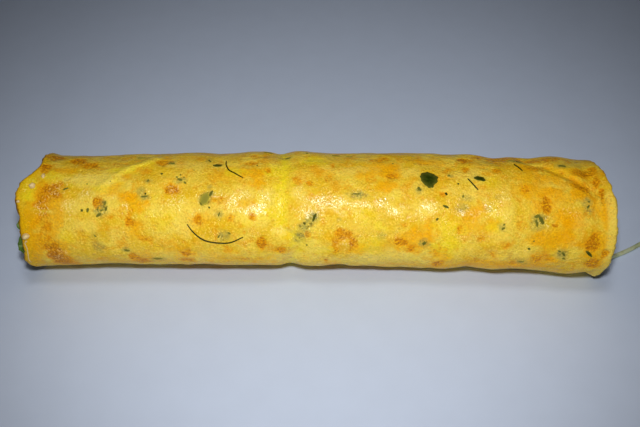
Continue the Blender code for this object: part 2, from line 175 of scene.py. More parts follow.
# Pale places; the rows round angle 44 to 50 paint the highlight band along the roll.
PALE_AND_HIGHLIGHT = (
    (-113, 49, 7, 9, 0.75), (-108, 58, 6, 5, 0.5), (-112, 30, 8, 8, 0.5), (-73.5, 46, 9, 8, 0.6),
    (-95.5, 21, 6, 8, 0.4), (-60, 50, 7, 8, 0.45), (-17.5, 25, 4, 4.5, 0.9), (5, 50, 13, 6, 0.35),
    (12, 47, 10, 6, 0.5), (35, 44, 6, 6, 0.6), (31, 47, 6, 8, 0.4), (48, 46, 8, 9, 0.5),
    (86.5, 50, 3, 22, 0.6), (85, 46, 6, 8, 0.5), (83, 22, 5, 6, 0.45), (70, 86, 6, 7, 0.4),
    (46, 66, 3, 14, 0.4), (20, 30, 12, 8, 0.35), (121, 38, 4, 8, 0.3), (-62, -4, 24, 9, 0.5),
    (30, -8, 26, 11, 0.8), (-12, -8, 14, 10, 0.8), (88, 4, 24, 8, 0.4), (-104, 50, 9, 12, 0.7),
    (-62, 40, 6, 12, 0.7), (-36, 40, 8, 8, 0.7), (-104, 76, 12, 9, 0.9), (-64, 97, 12, 6, 0.5),
    (-37, 59, 8, 7, 0.6), (-11, 62, 6, 8, 0.8), (16.5, 88, 12, 6, 0.5), (-63, 30, 7, 10, 0.7),
    (-4, 8, 8, 8, 0.7), (42.5, 85, 5, 7, 0.5), (68, 64, 10, 8, 0.5), (-47.5, 44, 7, 9, 0.5),
    (-25, 55, 4, 9, 0.8), (-29, 34, 6, 8, 0.6), (-112, 78, 8, 8, 0.9),
)
# Wet places, shown by a glossy coat and by painted highlights: cream glints mixed into the colour.
WET_AND_PAINTED_GLINTS = (
    (-117.5, 50, 3.5, 7, 0.6), (-116.5, 41, 2, 7, 0.6), (-90.5, 46.5, 2, 2.5, 0.7),
    (-66, 56, 5, 10, 0.5), (-47, 58, 4, 4, 0.7), (-40.5, 51.5, 4.5, 5, 0.9),
    (-30.5, 43.5, 6, 4.5, 1), (-17.5, 25, 3, 4, 0.6), (-6, 41, 2.5, 4, 0.8), (-0.5, 52, 7, 5, 0.9),
    (8, 52, 4, 5, 0.9), (17.5, 50, 6, 3.5, 0.9), (29.5, 52.5, 4.5, 6, 1), (34, 42.5, 3, 4.5, 1),
    (39.5, 47.5, 3, 3, 0.8), (49.5, 48.5, 4, 6, 0.9), (70.5, 44, 4, 3, 0.6),
    (78.5, 53, 2.5, 5, 0.7), (66.5, 43, 3, 3, 0.6), (114, 49, 2.5, 3, 0.6), (119.5, 47, 2, 3, 0.6),
    (105.5, 35.5, 2, 3, 0.6), (86.5, 61, 2.5, 4, 0.5), (-123, 66, 5, 8, 0.5), (-68, 64, 4, 6, 0.6),
    (-24.5, 57, 3.5, 5, 1), (-27, 47, 3, 5, 0.9), (-36, 58, 4, 4, 0.8), (-110, 60, 5, 5, 0.7),
    (-129.5, 46, 3.5, 9, 0.6), (-125, -3, 5, 9, 0.45), (12, 14, 5, 8, 0.4),
)
HERB_STAINS = (
    (-101.8, 43.5, 3, 6, 1), (-100.5, 49, 2.2, 5, 1), (-81, 74, 2.2, 3, 0.6),
    (-83.8, 62.5, 2.6, 5, 0.6), (-81.7, 57.5, 2.8, 4, 0.75), (-66, 75, 3, 4, 0.75),
    (-53.6, 55, 3, 8, 1), (-51, 60, 1.6, 5, 0.9), (-51.7, 67, 1.4, 3, 0.7),
    (-46.9, 40.5, 2.2, 5, 0.75), (-44.6, 20.5, 3.4, 5.5, 0.75), (-91.3, 4.5, 2.4, 3.5, 0.75),
    (-103.6, 9, 3.2, 6.5, 0.6), (-77.6, -8.5, 4, 5, 0.75), (-104.6, 20.5, 3, 4, 0.45),
    (-3, 37.5, 3, 6.5, 1), (-4.6, 33, 3.4, 6, 1), (-7.5, 27.5, 3, 6, 0.9), (-9.4, 20.5, 3, 6, 0.95),
    (-11.3, 15.5, 2.6, 5, 0.8), (17.3, 58.5, 4.6, 4.5, 1), (12.6, 59.5, 2, 2, 0.5),
    (8.8, 35.5, 1.6, 2.2, 0.5), (29, 20, 2.4, 4, 0.5), (48.8, 13.5, 2.6, 5, 0.8),
    (67.6, 58.5, 3, 4, 0.6), (66.5, 48.5, 3.4, 6, 0.65), (78.3, 47.5, 2.2, 3, 0.55),
    (83, 60.5, 1.8, 3, 0.4), (84.3, 32.5, 1.8, 4.5, 0.6), (101.7, 40, 3.6, 6, 1),
    (100.4, 35, 3.6, 7, 0.7), (123.7, 58, 2.4, 5, 0.75), (124.3, 51, 2.2, 4, 0.7),
    (113.2, 8, 3.4, 7, 0.8), (95.4, -4.5, 3.2, 4.5, 0.6), (97.2, -8, 3, 4, 0.5),
    (61.8, 83, 1.6, 2.5, 0.6), (50.5, 76, 5.2, 10, 0.5), (46.4, 65, 2, 4, 0.8),
    (74.6, 82, 4, 4.5, 0.5), (-49.2, 95, 3, 4, 0.6), (-53.5, 104, 2, 6, 0.6),
    (-71.2, 98.5, 2.4, 4, 0.6), (-87, 113.5, 3.2, 4, 0.6), (-17, 111, 3.5, 4, 0.6),
    (95, 111, 4.5, 5, 0.7), (115.7, 102, 3.2, 4.5, 0.65), (-2, 102, 7, 3, 0.35),
)
RAGGEDNESS = 0.4
BROWN_RAGGEDNESS = 0.34
STAIN_RAGGEDNESS = 0.25

# Flakes of dark leaf on the surface: place along X, angle, length, width, turn on the surface, and
# how far egg covers them (0 bare, 1 covered).
FLAKES = (
    (51.3, 77.5, 8.6, 9.8, 20, 0), (46.6, 66, 1.6, 2.6, 30, 0.35), (75.4, 81, 5.8, 2.9, -16, 0),
    (-53.6, 54.5, 6.6, 4.4, 66, 0.8), (-51, 60, 3.4, 1.3, 65, 0.35), (-71.2, 98.5, 3, 1.6, -5, 0.5),
    (-87, 113.5, 4, 1.6, 0, 0.7), (-49.2, 95, 4.4, 2, 0, 0.1), (-53.3, 104, 3, 1, -60, 0.4),
    (-15.7, 110, 3, 1.6, 8, 0.45), (8, 119, 4, 1.2, 0, 0.35), (14.3, 115.5, 3.4, 1.1, -6, 0.55),
    (-6.3, 119, 1.5, 1.3, 0, 0.2), (-25, 124, 4.4, 1.2, 0, 0.3), (96.4, 110.5, 3.4, 1.7, -12, 0.1),
    (92.4, 113.5, 4, 0.8, -12, 0.5), (115.7, 102, 3.6, 1.5, -10, 0.35),
    (58.7, 49, 2.8, 1.1, -20, 0.2), (125.5, 9.5, 4.4, 1.4, -40, 0.1),
    (-2.7, 37.5, 4.2, 1.2, 65, 0.1), (-66, 75.5, 3, 1.2, -30, 0.45),
    (-63.5, 72, 1.7, 0.9, -40, 0.5), (-67.6, 78.5, 1.2, 0.8, 0, 0.45),
    (-81, 74, 1.6, 1.1, 60, 0.55), (-82, 57.3, 3.4, 0.9, 8, 0.45), (-99.4, 45.5, 2.2, 1.1, 80, 0.4),
    (-102.8, 40, 2.6, 1.3, 30, 0.4), (-100, 50.5, 2.2, 0.9, 80, 0.5),
    (-101.5, 44, 1.6, 0.8, 20, 0.6), (-103.4, 45, 1.2, 0.7, 60, 0.6),
    (-108, 44.5, 2, 1.2, 80, 0.45), (-91.3, 4.5, 2.8, 1.2, -12, 0.5),
    (-77.6, -8.5, 4, 1.3, -4, 0.45), (-46.9, 40.5, 2.2, 0.8, 65, 0.55),
    (-47.3, 20, 1.8, 0.8, 60, 0.5), (-42.4, 23, 1.6, 0.8, -40, 0.5),
    (-105, 20.5, 1.5, 0.8, -40, 0.7), (16.8, 59.5, 3.4, 0.7, -6, 0.5),
    (102.4, 40, 4.6, 1.9, -62, 0.3), (100.2, 37.5, 3.6, 1.2, -80, 0.45),
    (100.4, 43.5, 2.6, 1.5, 20, 0.45), (124, 54, 2, 1, 50, 0.35), (124.5, 59, 1.5, 0.9, 0, 0.6),
    (111.8, 11, 1.4, 0.9, 0, 0.45), (113.8, 8, 2.8, 1.1, -55, 0.35),
    (114.5, 3, 1.8, 0.9, -20, 0.45), (95.6, -5, 2.4, 1, 0, 0.55), (66.8, 60, 1.6, 0.9, 80, 0.55),
    (48.8, 13.5, 2.2, 1.6, 60, 0.35), (84.8, 31, 1.6, 1.1, 30, 0.45),
    (-119.2, 66, 2.4, 1.1, 25, 0.5), (-55.4, 50, 2.2, 0.8, -50, 0.45),
)
# Small round dark specks: place along X, angle, diameter, how far egg covers them.
SPECKS = (
    (-110.7, 44.5, 1.2, 0.3), (-75, 83, 1.1, 0.3), (-51.5, 46.5, 1, 0.4), (-109.5, 71, 0.6, 0.5),
    (-98.5, 73, 0.5, 0.5), (-81.7, 60, 0.9, 0.1), (-66, 81, 0.8, 0.4), (-7.2, 32, 1.2, 0.2),
    (-6.3, 9.5, 1, 0.6), (-30, 93, 0.9, 0.2), (59, 62, 1.3, 0), (65, 73.5, 1, 0.2),
    (54.6, 36.8, 1.2, 0.3), (97.8, 11.5, 1.3, 0.2), (99.5, 20, 0.7, 0.4), (61.2, 83.5, 1.4, 0.6),
    (85.2, 34.8, 0.9, 0.5), (35, 98, 0.8, 0.5), (-60, 88, 0.6, 0.5), (-64.2, 78, 0.7, 0.4),
)
FLAKE_RINGS = 5
FLAKE_SPOKES = 40
FLAKE_RIM_VEIL = 0.3
FLAKE_SUNK = 0.35

# Thin herb stalks on the surface: (x, angle) points.
STRANDS = (
    ((-61.9, 31), (-59.2, 24), (-56, 18.5), (-52.2, 15), (-47, 13.2), (-42, 13.8), (-36, 19)),
    ((-45.2, 102), (-44.9, 95), (-43.2, 87), (-40, 81.5), (-36.2, 76)),
    ((69.7, 80.5), (71.8, 74), (74, 67.5)),
    ((93.2, 104.5), (94.8, 99), (96.2, 93.5)),
)
STRAND_RADIUS = 0.34
STRAND_POINTS = 60

# The egg sheet's mesh: fine on the outer turn, plain where the next turn hides it.
FINE_STEP = 0.75
FINE_ROWS = 240
FINE_TURNS = 1.05
COARSE_ROWS = 96
MIDDLE_LEFT = -126.0
MIDDLE_RIGHT = 123.0
MIDDLE_STOPS = (0, 12, 40, 92, 148, 196, 228, 252, 276, 300, 320, 332)
RIM_STATIONS = 18
COARSE_SKIP = 2
RIM_ROUND = 1.5
DULL_LEFT = 3.0
DULL_RIGHT = 8.0
CAP_ANGLES = np.radians((67.5, 45.0, 22.5, 0.0, -22.5, -45.0, -67.5))

# The filling: its mesh, and the loose things at each end.
FILLING_ROWS = 300
FILLING_MIDDLE = (-80.0, -40.0, 0.0, 20.0, 40.0, 60.0, 80.0)
FILLING_FINE_LEFT = -112.0
FILLING_FINE_RIGHT = 104.0
SHREDS_PER_END = 190
SCRAPS_PER_END = 16
SCRAP_THICKNESS = 0.35

# The salad leaf at the left end: each lobe's angle, half angle and length.
LEAF_LOBES = ((28.0, 8.5, 5.0), (2.0, 19.0, 6.2))
LEAF_ROOT = -124.0
LEAF_BASE = -138.2
LEAF_HALF_THICKNESS = 0.2

# The salad stem at the right end, and its route outside the roll: (x, y, z) points.
STEM_RADIUS = 0.9
STEM_ANGLE = -62.0
STEM_ROOT = 112.0
STEM_RIM = 137.5
STEM_OUTSIDE = (
    (144.5, -13.0, 2.4),
    (151.0, -10.3, 1.15),
    (158.5, -6.6, 0.95),
    (166.5, -1.9, 0.95),
    (170.0, 0.3, 0.95),
)
STEM_POINTS = 160
STEM_SIDES = 24
STEM_RIBS = 6

# Crumbs of cheese by the left rim: place along X, angle, radius. The shred that hangs there:
# (x, angle) points.
CRUMBS = (
    (-137.5, 20.5, 1.6),
    (-135.2, 69.5, 1.5),
    (-131.0, 81.0, 1.2),
    (-140.6, 53.0, 0.8),
    (-137.9, 15.0, 0.6),
)
HANGING_SHRED = ((-138.6, 14.0), (-138.0, 8.0), (-138.5, 0.0), (-139.3, -8.0), (-138.9, -13.0))
HANGING_SHRED_RADIUS = 0.26
HANGING_SHRED_POINTS = 30

# Colours of the egg.
EGG_GOLD = (0.720, 0.450, 0.014)
EGG_LIGHT = (0.790, 0.590, 0.062)
EGG_ORANGE = (0.720, 0.330, 0.004)
# The golden colour also paints the shadow under the left ridge; the lemon and pale ones also paint
# highlights.
GOLDEN_AND_SHADE_SPOT = (0.800, 0.360, 0.001)
LEMON_AND_HIGHLIGHT_SPOT = (0.820, 0.650, 0.016)
PALE_AND_HIGHLIGHT_SPOT = (0.840, 0.650, 0.105)
# Painted shade: the darker gold towards the left rim.
RIM_PAINTED_SHADE_GOLD = (0.600, 0.380, 0.001)
BROWN_LIGHT = (0.720, 0.290, 0.004)
BROWN_DARK = (0.400, 0.125, 0.003)
STAIN_GREEN = (0.315, 0.285, 0.065)
STAIN_DARK = (0.130, 0.115, 0.012)
# Fine grain painted as dots of shade and light, standing in for the shading and glints of tiny
# blisters.
GRAIN_PAINTED_SHADE = (0.420, 0.230, 0.006)
GRAIN_PAINTED_LIGHT = (0.940, 0.665, 0.085)
GRAIN_PAINTED_GOLD_LIGHT = (0.940, 0.520, 0.005)
# Painted highlight: the cream of the glints, mixed into the colour on wet places.
PAINTED_GLINT = (0.980, 0.900, 0.520)
CUT_EGG = (0.800, 0.600, 0.180)
RIM_BROWN = (0.170, 0.070, 0.006)

# Colours of the small things: the darker and the lighter of the two that each is mottled with.
CHEESE = ((0.780, 0.640, 0.330), (0.860, 0.760, 0.500))
CRUMB_CHEESE = ((0.660, 0.470, 0.180), (0.780, 0.610, 0.290))
STALK = ((0.020, 0.022, 0.001), (0.040, 0.042, 0.003))
HERB = ((0.010, 0.020, 0.001), (0.030, 0.046, 0.003))
LEAF = ((0.045, 0.110, 0.006), (0.110, 0.190, 0.016))
STEM = ((0.300, 0.350, 0.190), (0.480, 0.520, 0.330))
HERB_VEILED = (0.270, 0.240, 0.030)
EGG_FILM = (0.560, 0.430, 0.030)
LEAF_VEIN = (0.220, 0.300, 0.090)

# The stage: a plain pale floor, a camera in front and above, and the lights.
FLOOR_SIZE = 6.0
FLOOR_COLOUR = (0.535, 0.620, 0.790)
CAMERA_DISTANCE = 400.0
CAMERA_RISE = 45.0
CAMERA_LENS = 45.0
AIM = (PLACE_X, PLACE_Y - 2.2, 23.8)

# The flash: a small bright spot light above the front, darker towards the roll's two ends.
FLASH_RISE = 54.5
FLASH_DISTANCE = 420.0
FLASH_RADIUS = 20.0
FLASH_POWER = 5.6
FLASH_CONE = 66.0
FLASH_COLOUR = (1.0, 0.98, 0.95)
# Soft studio lights: name, azimuth, rise, size, power in watts.
FILLS = (
    ("fill_front", 0.0, 4.0, 90.0, 0.88),
    ("fill_top", 0.0, 82.0, 160.0, 0.78),
    ("fill_back", 180.0, 65.0, 400.0, 0.1),
)
FILL_DISTANCE = 700.0
FILL_COLOUR = (1.0, 0.98, 0.96)
WORLD_COLOUR = (0.90, 0.94, 1.0)
WORLD_STRENGTH = 0.008


def smooth(value):
    """Ease from 0 to 1, level outside."""
    value = np.clip(value, 0.0, 1.0)
    return value * value * (3.0 - 2.0 * value)


def bump(value, centre, reach):
    """A soft bump of height 1 round its centre."""
    return np.exp(-((value - centre) / reach) ** 2)


def noise(u, v, seed):
    """Smooth noise from -1 to 1 at points (u, v), one cell per unit."""
    table = np.random.default_rng(seed).uniform(-1.0, 1.0, 4096)
    u, v = np.broadcast_arrays(np.asarray(u, float), np.asarray(v, float))
    cell_u, cell_v = np.floor(u).astype(np.int64), np.floor(v).astype(np.int64)
    part_u, part_v = smooth(u - cell_u), smooth(v - cell_v)

    def corner(a, b):
        return table[((cell_u + a) * 73856093 ^ (cell_v + b) * 19349663) & 4095]

    low = corner(0, 0) * (1.0 - part_u) + corner(1, 0) * part_u
    high = corner(0, 1) * (1.0 - part_u) + corner(1, 1) * part_u
    return low * (1.0 - part_v) + high * part_v


def angle_at(turns):
    return TAIL_ANGLE - 360.0 * turns


def turns_at(angle):
    """Where the outer turn passes an angle."""
    return (TAIL_ANGLE - angle) / 360.0


def outline(angle):
    """The radius of the roll's outer section at an angle, flat underneath."""
    across = np.cos(np.radians(angle))
    upwards = np.sin(np.radians(angle))
    radius = 1.0 / np.hypot(across / HALF_WIDTH, upwards / HALF_HEIGHT)
    floor_radius = CENTRE_HEIGHT / np.maximum(-upwards, 1e-6)
    return np.where(upwards < 0.0, np.minimum(radius, floor_radius), radius)


def turn_depth(turns):
    """How deep the sheet's outer side lies under the outline."""
    past = turns - STEP_START
    stepped = np.maximum(0.0, np.floor(past) + smooth((past - np.floor(past)) / STEP_LENGTH))
    even = turns - (EVEN_START - 1.0)
    share = np.clip((turns - EVEN_START) / (CORE_TURNS - EVEN_START + 0.25), 0.0, 1.0)
    return PITCH * (stepped * (1.0 - share) + even * share)


def thickness(turns):
    return TAIL_THICKNESS + (SHEET - TAIL_THICKNESS) * smooth(turns / TAIL_TAPER)


def bend(x):
    """How far the roll's middle line lies to the front (negative) at a place along it."""
    right = RIGHT_BEND * smooth((x - RIGHT_BEND_START) / BEND_LENGTH)
    left = LEFT_BEND * smooth((-x - LEFT_BEND_START) / BEND_LENGTH)
    return -right - left


def place(x, turns, depth, lift=0.0):
    """Points of the roll in metres, one row each: x along it, round it by turns, depth inwards."""
    angle = angle_at(turns)
    radius = outline(angle) * (1.0 - depth / MEAN_RADIUS) + lift
    y = bend(x) - radius * np.cos(np.radians(angle))
    z = np.maximum(CENTRE_HEIGHT + radius * np.sin(np.radians(angle)), 0.0)
    x, y, z = np.broadcast_arrays(x + PLACE_X, y + PLACE_Y, z)
    return np.stack((x, y, z), axis=-1) * MM


def left_rim(angle):
    """The left end of the outer turn, with a small peak at the upper front."""
    drawn_in = 5.6 * smooth((angle - 70.0) / 24.0) - smooth((angle - 104.0) / 20.0)
    peak = 2.5 * bump(angle, 61.0, 14.0)
    return -140.0 + drawn_in - peak - 1.6 * bump(angle, -12.0, 14.0)


def right_rim(angle):
    """The right end of the outer turn, drawn in at the back and at the lower front corner."""
    back = 3.6 * smooth((angle - 42.0) / 75.0)
    corner = 1.6 * smooth((-angle - 10.0) / 45.0)
    return 137.1 - back - corner


def sheet_ends(turns):
    """The sheet's left and right ends; the inner turns lie a little further in."""
    inside = smooth((turns - 0.95) / 0.2)
    left_inner = -136.6 + 1.2 * np.sin(4.0 * turns) + 0.5 * np.sin(11.0 * turns)
    right_inner = 135.4 + 1.1 * np.cos(3.4 * turns) + 0.5 * np.sin(9.0 * turns + 1.0)
    angle = angle_at(turns)
    left = left_rim(angle) * (1.0 - inside) + left_inner * inside
    right = right_rim(angle) * (1.0 - inside) + right_inner * inside
    return left, right


def line_at(angle, points):
    """The x of a crease line at an angle, eased from point to point."""
    middle = points[0][1]
    for (angle_a, x_a), (angle_b, x_b) in zip(points, points[1:]):
        middle = middle + (x_b - x_a) * smooth((angle_a - angle) / (angle_a - angle_b))
    return middle


def line_fade(angle, points):
    """1 along a crease line, falling to 0 past its two ends."""
    fade = smooth((points[0][0] + CREASE_FADE - angle) / CREASE_FADE)
    return fade * smooth((angle - points[-1][0] + CREASE_FADE) / CREASE_FADE)


def on_crease(x, angle, points, reach, offset=0.0):
    """1 on a crease line (or offset from it along X), falling softly to 0 at both its sides."""
    return line_fade(angle, points) * bump(x, line_at(angle, points) + offset, reach)


def flare_height(x, angle, left, right):
    """The outward turn of the rims, with a shallow valley behind the right one."""
    upper = bump(angle, 72.0, 42.0)
    corner = bump(angle, -42.0, 16.0)
    inwards = right - x
    lip = RIGHT_FLARE * (1.0 - smooth(inwards / RIGHT_FLARE_LENGTH)) * np.maximum(upper, corner)
    valley = 0.9 * upper * bump(inwards, RIGHT_FLARE_LENGTH - 1.5, 3.5)
    return lip - valley + LEFT_FLARE * (1.0 - smooth((x - left) / LEFT_FLARE_LENGTH))


def looseness(turns):
    """1 on the outer turn, 0 at the tail's edge and inside the roll."""
    return smooth(turns / TAIL_TAPER) * (1.0 - smooth((turns - 0.95) / 0.1))


def off_the_floor(angle):
    """0 on the flat underneath and 1 away from it."""
    return smooth((np.abs(angle + 90.0) - 30.0) / 15.0)


def swell(x, turns):
    """How far the outer turn's surface stands out from the plain oval, in broad forms."""
    angle = angle_at(turns)
    left, right = sheet_ends(turns)
    height = 0.3 * np.sin(x / 17.0 + 1.4 * np.sin(np.radians(angle)))
    height = height + 0.25 * np.sin(x / 9.5 - np.radians(angle) * 2.0 + 1.0)
    for lump_x, lump_angle, half_length, half_angle, lump in LUMPS:
        height = height + lump * bump(x, lump_x, half_length) * bump(angle, lump_angle, half_angle)
    for points, half_width, ridge in CREASES:
        height = height + ridge * on_crease(x, angle, points, half_width)
    height = height + flare_height(x, angle, left, right)
    return height * off_the_floor(angle) * looseness(turns)


def patches(x, angle, rows, raggedness, seed):
    """How strongly a list of patches shows at points of the surface, with ragged outlines."""
    arc = np.radians(angle) * MEAN_RADIUS
    coarse = noise(x / 3.1, arc / 3.1, seed) + 0.6 * noise(x / 1.5, arc / 1.5, seed + 1)
    result = np.zeros_like(x)
    for patch_x, patch_angle, half_length, half_angle, strength in rows:
        near = np.abs(x - patch_x) < 2.0 * half_length + 2.0
        along = (x[near] - patch_x) / half_length
        around = (angle[near] - patch_angle) / half_angle
        edge = smooth((1.35 - np.hypot(along, around) + raggedness * coarse[near]) / 0.9)
        result[near] = np.maximum(result[near], strength * edge)
    return result


def fine_relief(x, turns):
    """Small blisters of the baked surface."""
    arc = np.radians(angle_at(turns)) * MEAN_RADIUS
    relief = 0.32 * noise(x / 8.0, arc / 8.0, 11) + 0.12 * noise(x / 3.6, arc / 3.6, 12)
    return relief + 0.04 * noise(x / 1.5, arc / 1.5, 13)


def surface(x, angle, lift):
    """Points on the outer turn's finished surface, lifted off it by a little."""
    turns = turns_at(np.asarray(angle, float))
    x = np.asarray(x, float)
    blisters = fine_relief(x, turns) * off_the_floor(angle_at(turns)) * looseness(turns)
    return place(x, turns, turn_depth(turns), swell(x, turns) + blisters + lift)


def new_object(name, points, faces, material):
    """A smooth mesh object that rides on the root body."""
    data = bpy.data.meshes.new(name)
    data.from_pydata(np.asarray(points).tolist(), [], faces)
    mesh = bmesh.new()
    mesh.from_mesh(data)
    bmesh.ops.recalc_face_normals(mesh, faces=mesh.faces)
    mesh.to_mesh(data)
    mesh.free()
    data.shade_smooth()
    data.materials.append(material)
    piece = bpy.data.objects.new(name, data)
    bpy.context.scene.collection.objects.link(piece)
    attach(piece, "root")
    return piece


def set_attribute(piece, name, values):
    """A number at each vertex, for the material to read."""
    layer = piece.data.attributes.new(name, "FLOAT", "POINT")
    layer.data.foreach_set("value", np.asarray(values, np.float32))


def quads(grid):
    """Faces between neighbouring points of a grid of vertex numbers."""
    corners = np.stack((grid[:-1, :-1], grid[:-1, 1:], grid[1:, 1:], grid[1:, :-1]), axis=-1)
    return corners.reshape(-1, 4).tolist()


def fan_strip(fine, coarse, shared):
    """Faces between a fine row and a coarse row; shared says which fine points lie opposite."""
    faces = []
    for number in range(len(coarse) - 1):
        run = fine[shared[number]:shared[number + 1] + 1].tolist()
        faces.append(run + [int(coarse[number + 1]), int(coarse[number])])
    return faces


def side_stations(left, right, fine):
    """Places along one side of the sheet, for each row: closer together near the rims."""
    part = np.linspace(0.0, 1.0, RIM_STATIONS + 1)[None, :]
    start = left[:, None] + (MIDDLE_LEFT - left[:, None]) * part
    stop = MIDDLE_RIGHT + (right[:, None] - MIDDLE_RIGHT) * part
    middle = np.arange(MIDDLE_LEFT, MIDDLE_RIGHT + 0.01, FINE_STEP)
    if not fine:
        start, stop = start[:, ::COARSE_SKIP], stop[:, ::COARSE_SKIP]
        middle = middle[list(MIDDLE_STOPS)]
    rows = np.broadcast_to(middle, (len(left), len(middle)))
    return np.concatenate((start[:, :-1], rows, stop[:, 1:]), axis=1)


def shared_stations():
    """Which fine stations the coarse ones lie opposite."""
    last = RIM_STATIONS + MIDDLE_STOPS[-1]
    start = range(0, RIM_STATIONS, COARSE_SKIP)
    middle = [RIM_STATIONS + stop for stop in MIDDLE_STOPS]
    stop = range(last + COARSE_SKIP, last + RIM_STATIONS + 1, COARSE_SKIP)
    return [*start, *middle, *stop]


def sheet_points():
    """Blocks of the egg sheet's mesh: x, turns, and share (0 outer side, 1 inner side)."""
    fine = np.arange(0, round(FINE_TURNS * FINE_ROWS) + 1) / FINE_ROWS
    coarse_count = round((CORE_TURNS - FINE_TURNS) * COARSE_ROWS)
    coarse = FINE_TURNS + (CORE_TURNS - FINE_TURNS) * np.arange(1, coarse_count + 1) / coarse_count
    every = np.concatenate((fine, coarse))
    left, right = sheet_ends(every)
    ragged_left = 0.45 * noise(every * 60.0, 0.0, 21) + 0.3 * noise(every * 190.0, 0.0, 22)
    ragged_right = 0.45 * noise(every * 60.0, 0.0, 23) + 0.3 * noise(every * 190.0, 0.0, 24)
    left, right = left - 0.2 + ragged_left, right + 0.2 + ragged_right
    inner_left, inner_right = left + RIM_ROUND, right - RIM_ROUND
    blocks = []

    def add_block(x, turns, share):
        x, turns, share = np.broadcast_arrays(x, turns[:, None], share)
        blocks.append((x, turns, share))

    count = len(fine)
    add_block(side_stations(inner_left[:count], inner_right[:count], True), fine, 0.0)
    add_block(side_stations(inner_left[count:], inner_right[count:], False), coarse, 0.0)
    add_block(side_stations(inner_left, inner_right, False), every, 1.0)
    out = RIM_ROUND * np.cos(CAP_ANGLES)[None, :] ** 0.8
    share = 0.5 - 0.5 * np.sign(CAP_ANGLES) * np.abs(np.sin(CAP_ANGLES)) ** 0.8
    add_block(inner_left[:, None] - out, every, share[None, :])
    add_block(inner_right[:, None] + out, every, share[None, :])
    return blocks


def sheet_faces(blocks):
    """Faces of the egg sheet's mesh, from the vertex numbers of its blocks."""
    grids = []
    start = 0
    for x, _, _ in blocks:
        grids.append(start + np.arange(x.size).reshape(x.shape))
        start += x.size
    fine, coarse, inner, left_cap, right_cap = grids
    shared = shared_stations()
    faces = quads(fine) + quads(coarse) + quads(inner)
    faces += fan_strip(fine[-1], coarse[0], shared)
    faces += fan_strip(fine[0], inner[0], shared)
    faces += quads(np.stack((coarse[-1], inner[-1])))
    for side, cap in ((0, left_cap), (-1, right_cap)):
        outer_edge = np.concatenate((fine[:, side], coarse[:, side]))
        faces += quads(np.column_stack((outer_edge, cap, inner[:, side])))
        faces.append([int(fine[0, side]), *cap[0].tolist(), int(inner[0, side])])
        faces.append([int(coarse[-1, side]), *cap[-1].tolist(), int(inner[-1, side])])
    return faces


def in_roll(turns, share):
    """1 on the sheet's inner side and inside the roll, 0 on the outer side of the outer turn."""
    return 1.0 - (1.0 - share) * (turns < 1.02)


def sheet_lift(x, turns, share, brown_and_painted_shade):
    """How far the sheet's points stand out: broad forms, blisters, brown lace, rough cut sides."""
    angle = angle_at(turns)
    arc = np.radians(angle) * MEAN_RADIUS
    broad = swell(x, turns)
    lift = broad * (1.0 - share) + np.maximum(broad, 0.0) * share
    blisters = fine_relief(x, turns) * (1.0 - share) * looseness(turns)
    lace = brown_and_painted_shade * (0.14 * noise(x / 1.1, arc / 1.1, 33) - 0.08)
    lift = lift + off_the_floor(angle) * (blisters + lace)
    return lift + in_roll(turns, share) * 0.12 * noise(x / 3.0, arc / 3.0, 34)


def paint_patches(piece, x, turns, outside, brown_and_painted_shade):
    """Where the surface is browned, golden, lemon, pale, stained or wet, for the material."""
    angle = angle_at(turns)
    left, right = sheet_ends(turns)
    # The waist's lemon band is partly paler egg and partly painted highlight.
    waist = on_crease(x, angle, WAIST_LINE, 2.8, 0.8)
    # Painted highlight along the left ridge, in lemon and pale, and painted shadow just below it,
    # in golden.
    ridge = on_crease(x, angle, LEFT_RIDGE_LINE, 2.8)
    below_ridge_shade = on_crease(x, angle, LEFT_RIDGE_LINE, 2.2, 6.0)
    crease = on_crease(x, angle, RIGHT_CREASE_LINE, 1.5)
    # Painted shade in the valley behind the right lip.
    lip_valley_shade = bump(right - x, 7.4, 1.3) * bump(angle, 74.0, 14.0)
    lip = smooth((5.4 - (right - x)) / 2.0) * smooth((75.0 - angle) / 20.0)
    golden_and_painted_shade = patches(x, angle, GOLDEN, RAGGEDNESS, 47)
    golden_and_painted_shade = np.maximum(golden_and_painted_shade, 0.6 * smooth((5.0 - (x - left)) / 4.0))
    golden_and_painted_shade = np.maximum(golden_and_painted_shade, 0.6 * below_ridge_shade) * (1.0 - 0.8 * waist)
    lemon_and_painted_highlight = np.maximum(patches(x, angle, LEMON_AND_HIGHLIGHT, RAGGEDNESS, 45), waist) + ridge
    # Pale places with painted highlights, the paler lip, and painted highlight on the left ridge.
    pale_and_painted_highlight = patches(x, angle, PALE_AND_HIGHLIGHT, RAGGEDNESS, 49) * (1.0 - 0.35 * waist)
    pale_and_painted_highlight = np.maximum(np.maximum(pale_and_painted_highlight, 0.75 * lip), 0.45 * ridge)
    # Painted shade: brown along the right crease and in the valley behind the right lip.
    painted_crease_shade = 0.40 * np.maximum(crease, lip_valley_shade * 1.2) * outside
    set_attribute(piece, "brown_and_painted_shade", np.maximum(brown_and_painted_shade, painted_crease_shade))
    set_attribute(piece, "stain", patches(x, angle, HERB_STAINS, STAIN_RAGGEDNESS, 43) * outside)
    # Painted shade: the colour darkens towards the left rim.
    set_attribute(piece, "left_rim_painted_shade", 0.6 * smooth((7.0 - (x - left)) / 5.0) * outside)
    set_attribute(piece, "golden_and_painted_shade", golden_and_painted_shade * outside)
    set_attribute(piece, "lemon_and_painted_highlight", np.clip(lemon_and_painted_highlight, 0.0, 1.0) * outside)
    set_attribute(piece, "pale_and_painted_highlight", pale_and_painted_highlight * outside)
    # Wet places: where the coat shines and where cream glints are painted as highlights.
    set_attribute(piece, "wet_and_painted_glint", patches(x, angle, WET_AND_PAINTED_GLINTS, RAGGEDNESS, 51) * outside)


